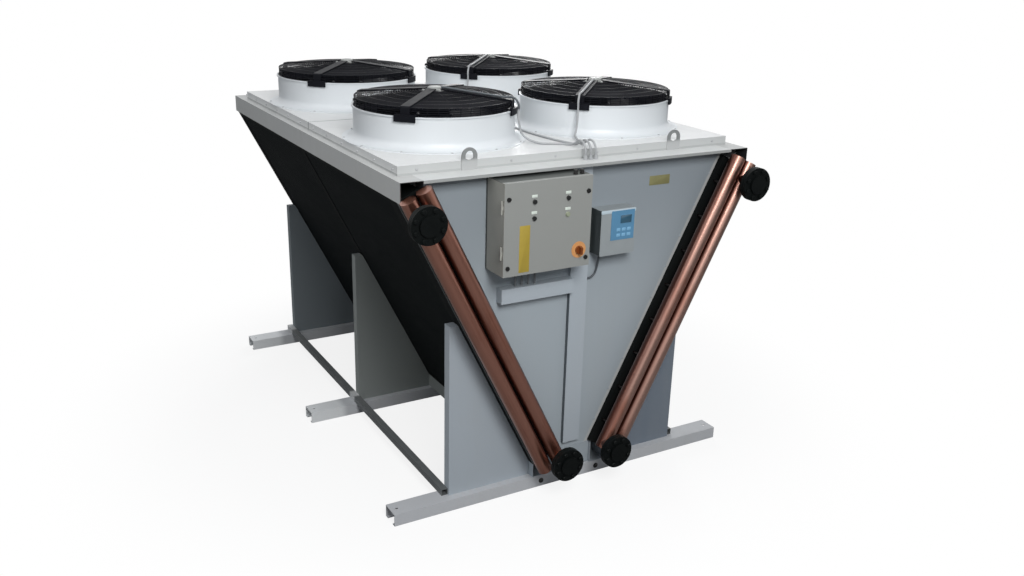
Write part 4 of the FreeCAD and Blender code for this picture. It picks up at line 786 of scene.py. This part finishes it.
# %% Bolts of the pipe flanges
FLANGE_CENTRES = [(-1.0646, 1.815), (1.0646, 1.815), (-0.1739, 0.262), (0.1739, 0.262)]
BOLT_CIRCLE, FLANGE_BOLTS = 0.080, 8
BOLT_HEAD, BOLT_NUT = (0.0135, 0.0110), (0.0135, 0.0130)
FLANGE_FACE, FLANGE_REAR = reach("pipe_flanges", Y)
COVER_RIM = 0.016
COVER_FACE = round(FLANGE_FACE - COVER_RIM, 5)

holes = []
for centre in FLANGE_CENTRES:
    holes += around(centre, BOLT_CIRCLE, FLANGE_BOLTS, first=22.5)
screw_group("cover_bolts", [(x, COVER_FACE, z) for x, z in holes], (0, -1, 0), *BOLT_HEAD,
            slot_name="flange_black", material=SKINS["flange_black"])
screw_group("flange_nuts", [(x, FLANGE_REAR, z) for x, z in holes], (0, 1, 0), *BOLT_NUT,
            slot_name="flange_black", material=SKINS["flange_black"])

# %% [markdown]
# Each refrigerant tube turns round at the end plate in a return bend, a half ring of thin tube. One
# bend is a small circle spun through half a turn, which is exactly how a bend is described. Three rows
# of them run up each end plate behind the headers.

# %% Return bends
COIL_FOOT_X, COIL_FOOT_Z = 0.265, 0.165
BEND_RADIUS, BEND_TUBE = 0.0125, 0.0050
BEND_ROWS, BENDS_IN_ROW, BEND_SPACING = (0.040, 0.074, 0.108), 35, 0.050


def coil_place(side, s, d):
    """A point s up the lean of a coil and d in from its outer face, on the front end plate."""
    x = COIL_FOOT_X + s * math.sin(LEAN) - d * math.cos(LEAN)
    z = COIL_FOOT_Z + s * math.cos(LEAN) + d * math.sin(LEAN)
    return Vector((side * x, END_PLATE, z))


def open_ring(bm, centre, radius, segments):
    """A circle of edges that stands across the machine's length, ready to be spun."""
    circle = bmesh.ops.create_circle(bm, segments=segments, radius=radius,
                                     matrix=Matrix.Translation(centre) @ facing((0, 1, 0)))
    return list({e for v in circle["verts"] for e in v.link_edges})


for side, word in ((-1, "left"), (1, "right")):
    bm = bmesh.new()
    uphill = Vector((side * math.sin(LEAN), 0, math.cos(LEAN)))
    axis = Vector((0, -1, 0)).cross(uphill)
    for row, d in enumerate(BEND_ROWS):
        for i in range(BENDS_IN_ROW):
            centre = coil_place(side, BEND_SPACING * (i + 1) + BEND_SPACING / 2 * (row % 2), d)
            ring = open_ring(bm, centre + uphill * BEND_RADIUS, BEND_TUBE, 7)
            bmesh.ops.spin(bm, geom=ring, cent=centre, axis=axis, angle=math.pi, steps=8, use_merge=False)
    add_piece("return_bends_" + word, bm, "frame", "casing_black")

# %% [markdown]
# A fan guard is a welded basket. The CAD guard has the rings and spokes that carry load. Between them
# go the finer wires that keep fingers out, and a skirt of short uprights closes the gap down to the
# cowl. A ring of wire is a tiny circle spun a full turn about the fan's axis, closed by merging the
# last step with the first. A straight wire is a thin cone with equal ends.

# %% One wire of a guard
CROWN, RISE, EDGE_RADIUS, HUB_RADIUS = 0.092, 0.050, 0.4603, 0.095
WIRE_RADIUS = 0.0019
FAN_AXIS = Vector((0, 0, 0))


def wire_height(radius):
    """The guard is a low cone: its wires rise from the edge to the hub."""
    return RIM_Z + CROWN - (CROWN - RISE) * radius / EDGE_RADIUS


def add_wire_ring(bm, radius, height):
    ring = open_ring(bm, Vector((radius, 0, height)), WIRE_RADIUS, 6)
    bmesh.ops.spin(bm, geom=ring, cent=FAN_AXIS, axis=(0, 0, 1), angle=2 * math.pi, steps=72,
                   use_merge=True)


def add_straight_wire(bm, start, end):
    way = end - start
    bmesh.ops.create_cone(bm, cap_ends=True, segments=6, radius1=WIRE_RADIUS, radius2=WIRE_RADIUS,
                          depth=way.length, matrix=Matrix.Translation((start + end) / 2) @ facing(way))


def on_guard(radius, angle, height):
    return Vector((radius * math.cos(angle), radius * math.sin(angle), height))


print("a guard rises", round(wire_height(HUB_RADIUS) - wire_height(EDGE_RADIUS), 4), "m to its hub")

# %% [markdown]
# One basket is made at the origin and then copied to the four fans, which saves the time of building
# the same wires again. The fine rings fill the five fields between the CAD rings, more of them in the
# outer fields. Twelve fine spokes leave out the directions of the four arms.

# %% Fine wires of the guards
FIELD = (EDGE_RADIUS - HUB_RADIUS) / 5
RINGS_IN_FIELD = (5, 5, 5, 8, 8)
SPOKES, SKIRT_RINGS, SKIRT_UPRIGHTS = 16, 4, 48
SKIRT_FOOT, SKIRT_PITCH = 0.004, 0.0115

basket = bmesh.new()
for i, parts in enumerate(RINGS_IN_FIELD):
    for k in range(1, parts):
        radius = HUB_RADIUS + FIELD * (i + k / parts)
        add_wire_ring(basket, radius, wire_height(radius) - WIRE_RADIUS)
for i in range(SPOKES):
    if i % 4 != 2:
        turn = math.radians(360 / SPOKES * i)
        ends = [on_guard(r, turn, wire_height(r) - 3 * WIRE_RADIUS) for r in (HUB_RADIUS, EDGE_RADIUS)]
        add_straight_wire(basket, *ends)
for i in range(SKIRT_RINGS):
    add_wire_ring(basket, EDGE_RADIUS, RIM_Z + SKIRT_FOOT + SKIRT_PITCH * i)
for i in range(SKIRT_UPRIGHTS):
    turn = math.radians(360 / SKIRT_UPRIGHTS * i)
    add_straight_wire(basket, on_guard(EDGE_RADIUS, turn, RIM_Z + SKIRT_FOOT / 2),
                      on_guard(EDGE_RADIUS, turn, wire_height(EDGE_RADIUS)))
for (x, y), word in zip(FAN_CENTRES, FAN_WORDS):
    bm = basket.copy()
    bmesh.ops.translate(bm, verts=bm.verts, vec=(x, y, 0))
    add_piece("guard_wires_" + word, bm, "frame", "guard_black")
basket.free()

# %% [markdown]
# The motor hangs under the guard's centre plate and its end bell stands above it, the grey cap seen
# through the arms. It is a profile spun about the fan's axis. The profile is drawn with a few
# vertices, then bevelled so that its corners catch the light. Four screws hold it to the plate.

# %% End bells of the motors
PLATE_TOP, CAP_SCREW_CIRCLE, CAP_SCREW = 2.315, 0.070, (0.007, 0.006)
CAP_PROFILE = [(0.0, 2.3340), (0.032, 2.3340), (0.040, 2.3280), (0.040, 2.3190), (0.045, 2.3180),
               (0.045, PLATE_TOP)]
SHARP_FOLD, CAP_BEVEL = 0.6, 0.0012

for (x, y), word in zip(FAN_CENTRES, FAN_WORDS):
    bm = bmesh.new()
    points = [bm.verts.new((x + r, y, z)) for r, z in CAP_PROFILE]
    outline = [bm.edges.new(pair) for pair in zip(points, points[1:])]
    bmesh.ops.spin(bm, geom=points + outline, cent=(x, y, 0), axis=(0, 0, 1), angle=2 * math.pi, steps=48,
                   use_merge=True)
    bmesh.ops.remove_doubles(bm, verts=bm.verts, dist=1e-5)
    rims = [e for e in bm.edges if len(e.link_faces) == 2 and e.calc_face_angle(0) > SHARP_FOLD]
    bmesh.ops.bevel(bm, geom=rims, offset=CAP_BEVEL, affect="EDGES", segments=2, profile=0.5, material=-1)
    for spot in around((x, y), CAP_SCREW_CIRCLE, 4):
        add_screw(bm, (*spot, PLATE_TOP), (0, 0, 1), *CAP_SCREW)
    add_piece("motor_cap_" + word, bm, "frame", "guard_black", SKINS["gear_grey"])

# %% [markdown]
# Plates and labels are thin rounded slabs that lie on a face that looks forwards or to the rear. A cube
# is scaled, then the four edges along its thickness are bevelled widely for the corners, and the front
# rim a little for the light.

# %% Rounded plates
def add_slab(bm, x, y, z, corner, rim=0.0):
    """A rounded plate that spans the two values of x, y and z. Its front rim is at the first y."""
    low, high = Vector((x[0], y[0], z[0])), Vector((x[1], y[1], z[1]))
    size = high - low
    before = set(bm.edges)
    bmesh.ops.create_cube(bm, size=1.0,
                          matrix=Matrix.Translation((low + high) / 2) @ Matrix.Diagonal((*size, 1)))
    edges = [e for e in bm.edges if e not in before]
    through = [e for e in edges if abs(e.verts[0].co.y - e.verts[1].co.y) > 0.9 * size.y]
    bmesh.ops.bevel(bm, geom=through, offset=corner, affect="EDGES", segments=4, profile=0.5, material=-1)
    if rim:
        edges = [e for e in bm.edges if e not in before]
        front = [e for e in edges if all(abs(v.co.y - low.y) < 1e-6 for v in e.verts)]
        bmesh.ops.bevel(bm, geom=front, offset=rim, affect="EDGES", segments=2, profile=0.5, material=-1)


def span(centre, half):
    return centre - half, centre + half


print("slabs ready")

# %% [markdown]
# A small legend plate sits over each button and over the lamp, a yellow strip runs down the door and a
# faded patch sits on the front panel. All of them are bare, because nothing on this machine is named.

# %% Bare plates of the door and the front panel
DOOR_FACE = reach("cabinet_door", Y)[0]
THIN_PLATE, LEGEND_PLATE = 0.0012, 0.0016
LEGEND_X, LEGEND_Z = (-0.422, -0.212), (1.8815, 1.7925)
LEGEND_HALF, LEGEND_Y = (0.017, 0.0075), (DOOR_FACE - LEGEND_PLATE, DOOR_FACE)
STRIP_X, STRIP_Z = (-0.508, -0.444), (1.470, 1.728)
PATCH_X, PATCH_Z = (0.480, 0.628), (1.806, 1.862)
LEGEND_WHITE = skin("legend_white", (0.62, 0.68, 0.62), 0.40, 0.00005, 400.0, 0.04)
SIGN_YELLOW = skin("sign_yellow", (0.36, 0.265, 0.038), 0.42, 0.00005, 200.0, 0.10)
FADED_YELLOW = skin("faded_yellow", (0.205, 0.195, 0.085), 0.45, 0.00005, 120.0, 0.25)

bm = bmesh.new()
for x in LEGEND_X:
    for z in LEGEND_Z:
        add_slab(bm, span(x, LEGEND_HALF[0]), LEGEND_Y, span(z, LEGEND_HALF[1]), corner=0.002, rim=0.0005)
add_piece("legend_plates", bm, "door", "cabinet_grey", LEGEND_WHITE)

bm = bmesh.new()
add_slab(bm, STRIP_X, (DOOR_FACE - THIN_PLATE, DOOR_FACE), STRIP_Z, corner=0.004, rim=0.0004)
add_piece("door_strip", bm, "door", "plate_yellow", SIGN_YELLOW)

bm = bmesh.new()
add_slab(bm, PATCH_X, (FRONT_FACE - THIN_PLATE, FRONT_FACE), PATCH_Z, corner=0.004, rim=0.0004)
add_piece("panel_patch", bm, "frame", "plate_yellow", FADED_YELLOW)

# %% [markdown]
# The floor between the coils is a folded channel, and without covers one could look right through it
# under the front and rear panels. A plain plate closes each end.

# %% Covers at the ends of the plenum floor
FOOT_SIDE, FOOT_HEIGHTS = 0.1495, (0.0755, 0.2165)
COVER_SHEET, COVER_GAP = 0.0020, 0.0002

bm = bmesh.new()
for y in (FRONT_FACE - COVER_GAP - COVER_SHEET, REAR_FACE + COVER_GAP):
    add_slab(bm, span(0, FOOT_SIDE), (y, y + COVER_SHEET), FOOT_HEIGHTS, corner=0.003)
add_piece("foot_covers", bm, "frame", "panel_grey", COATS["panel_grey"])

# %% [markdown]
# The controller's front is a printed film over soft keys with a dark display. The keys are low
# rounded pads, and the display is a slab of dark glass with a clear coat that mirrors the room. A pale
# band runs along the top of the box.

# %% Display, keys and top band of the controller
BOX_FACE, FILM = reach("controller_box", Y)[0], 0.002
PAD_FACE = BOX_FACE - FILM
DISPLAY_X, DISPLAY_Z, DISPLAY_BACK, DISPLAY_GLASS = (0.210, 0.286), (1.637, 1.683), 0.0020, 0.0010
KEY_X, KEY_Z, KEY_HALF = in_a_row(0.200, 0.036, 3), in_a_row(1.600, -0.032, 2), (0.013, 0.009)
BAND_X, BAND_Z = (0.0775, 0.3165), (1.7000, 1.7200)
GLASS_DARK = skin("display_dark", (0.03, 0.09, 0.14), 0.16, 0.00001, 100.0, 0.2, coat=0.6)
KEY_BLUE = skin("key_blue", (0.20, 0.42, 0.62), 0.36, 0.00005, 600.0, 0.06)
BAND_WHITE = skin("band_white", (0.46, 0.55, 0.60), 0.36, 0.00005, 400.0, 0.04)

bm = bmesh.new()
glass_back = PAD_FACE - DISPLAY_BACK
add_slab(bm, DISPLAY_X, (glass_back - DISPLAY_GLASS, glass_back), DISPLAY_Z, corner=0.003, rim=0.0004)
add_piece("display_glass", bm, "frame", "keypad_blue", GLASS_DARK)

bm = bmesh.new()
for x in KEY_X:
    for z in KEY_Z:
        add_slab(bm, span(x, KEY_HALF[0]), (PAD_FACE - THIN_PLATE, PAD_FACE), span(z, KEY_HALF[1]),
                 corner=0.004, rim=0.0005)
add_piece("soft_keys", bm, "frame", "keypad_blue", KEY_BLUE)

bm = bmesh.new()
add_slab(bm, BAND_X, (BOX_FACE - THIN_PLATE, BOX_FACE), BAND_Z, corner=0.004, rim=0.0005)
add_piece("controller_band", bm, "frame", "box_white", BAND_WHITE)

# %% [markdown]
# Studio light: a broad soft key from the upper left in front, a large panel overhead for the white
# deck, a weaker one for the long left side, and one behind on the right, for views from the rear.

# %% Lights
def soft_panel(name, place, aim, size, power):
    data = bpy.data.lights.new(name, "AREA")
    data.shape = "SQUARE"
    data.size = size
    data.energy = power
    lamp = bpy.data.objects.new(name, data)
    way = Vector(aim) - Vector(place)
    lamp.matrix_world = Matrix.Translation(place) @ way.to_track_quat("-Z", "Y").to_matrix().to_4x4()
    bpy.context.scene.collection.objects.link(lamp)
    print(name, power, "W")


soft_panel("key_light", (-1.6, -6.4, 5.2), (0, -0.6, 1.2), 2.4, 345)
soft_panel("top_light", (0.4, 0.3, 6.6), (0, 0.2, 2.0), 5.0, 100)
soft_panel("side_light", (-6.0, -1.5, 4.5), (-0.8, 0, 1.4), 2.5, 62)
soft_panel("back_light", (4.2, 6.0, 3.6), (0.2, 0.3, 1.0), 2.6, 170)

# %% [markdown]
# The world gives a little bluish light from everywhere. Rays from the camera and mirror rays see plain
# white instead, so the background is white without any more light on the machine.

# %% Background
world = bpy.data.worlds.new("studio")
bpy.context.scene.world = world
world.use_nodes = True
studio = Nodes(world.node_tree)
studio.tree.nodes.remove(studio.tree.nodes["Background"])

to_camera = studio.node("ShaderNodeLightPath", output="Is Camera Ray")
mirrored = studio.node("ShaderNodeLightPath", output="Is Glossy Ray")
through = studio.node("ShaderNodeLightPath", output="Is Transmission Ray")
ambient = studio.node("ShaderNodeBackground", inputs={"Color": (0.90, 0.94, 1.0, 1), "Strength": 0.30})
white = studio.node("ShaderNodeBackground", inputs={"Color": (1, 1, 1, 1), "Strength": 1.0})
share = (to_camera + mirrored + through).at_most(1.0)
studio.show("World Output", studio.node("ShaderNodeMixShader", inputs={0: share, 1: ambient, 2: white}))
bpy.context.scene.view_settings.view_transform = "Standard"
print("world ready")

# %% [markdown]
# The floor is a wide pale sheet. To the camera it is mostly plain white, with a share of real diffuse
# surface left in near the machine, so that it keeps a soft contact shadow and doesn't float. To the
# other rays it is darker, so that little light comes back up from it.

# %% Floor
FLOOR_SHOW, SHADOW_REACH, WHITE_REACH = 0.84, 1.7, 3.0
FLOOR_SEEN, FLOOR_FOR_LIGHT = (0.95, 0.95, 0.95), (0.28, 0.28, 0.28)

bm = bmesh.new()
bmesh.ops.create_grid(bm, x_segments=1, y_segments=1, size=30, matrix=Matrix.Translation((0, 0, -0.001)))
mesh = bpy.data.meshes.new("floor")
bm.to_mesh(mesh)
bm.free()
floor = bpy.data.objects.new("floor", mesh)
bpy.context.scene.collection.objects.link(floor)

pale = Finish("floor_pale", (0.80, 0.80, 0.80), 0.9, shine=0.0)
to_camera = pale.node("ShaderNodeLightPath", output="Is Camera Ray")
far = pale.band((pale.x * pale.x + pale.y * pale.y).root(), SHADOW_REACH, WHITE_REACH)
pale.feed("Base Color", pale.mix(to_camera, FLOOR_FOR_LIGHT, FLOOR_SEEN))
lit, glow = Wire(pale.tree, pale.shader.outputs[0]), pale.node("ShaderNodeEmission")
share = to_camera * (far * (1 - FLOOR_SHOW) + FLOOR_SHOW)
pale.show("Material Output", pale.node("ShaderNodeMixShader", inputs={0: share, 1: lit, 2: glow}))
mesh.materials.append(pale.material)
print("floor ready")
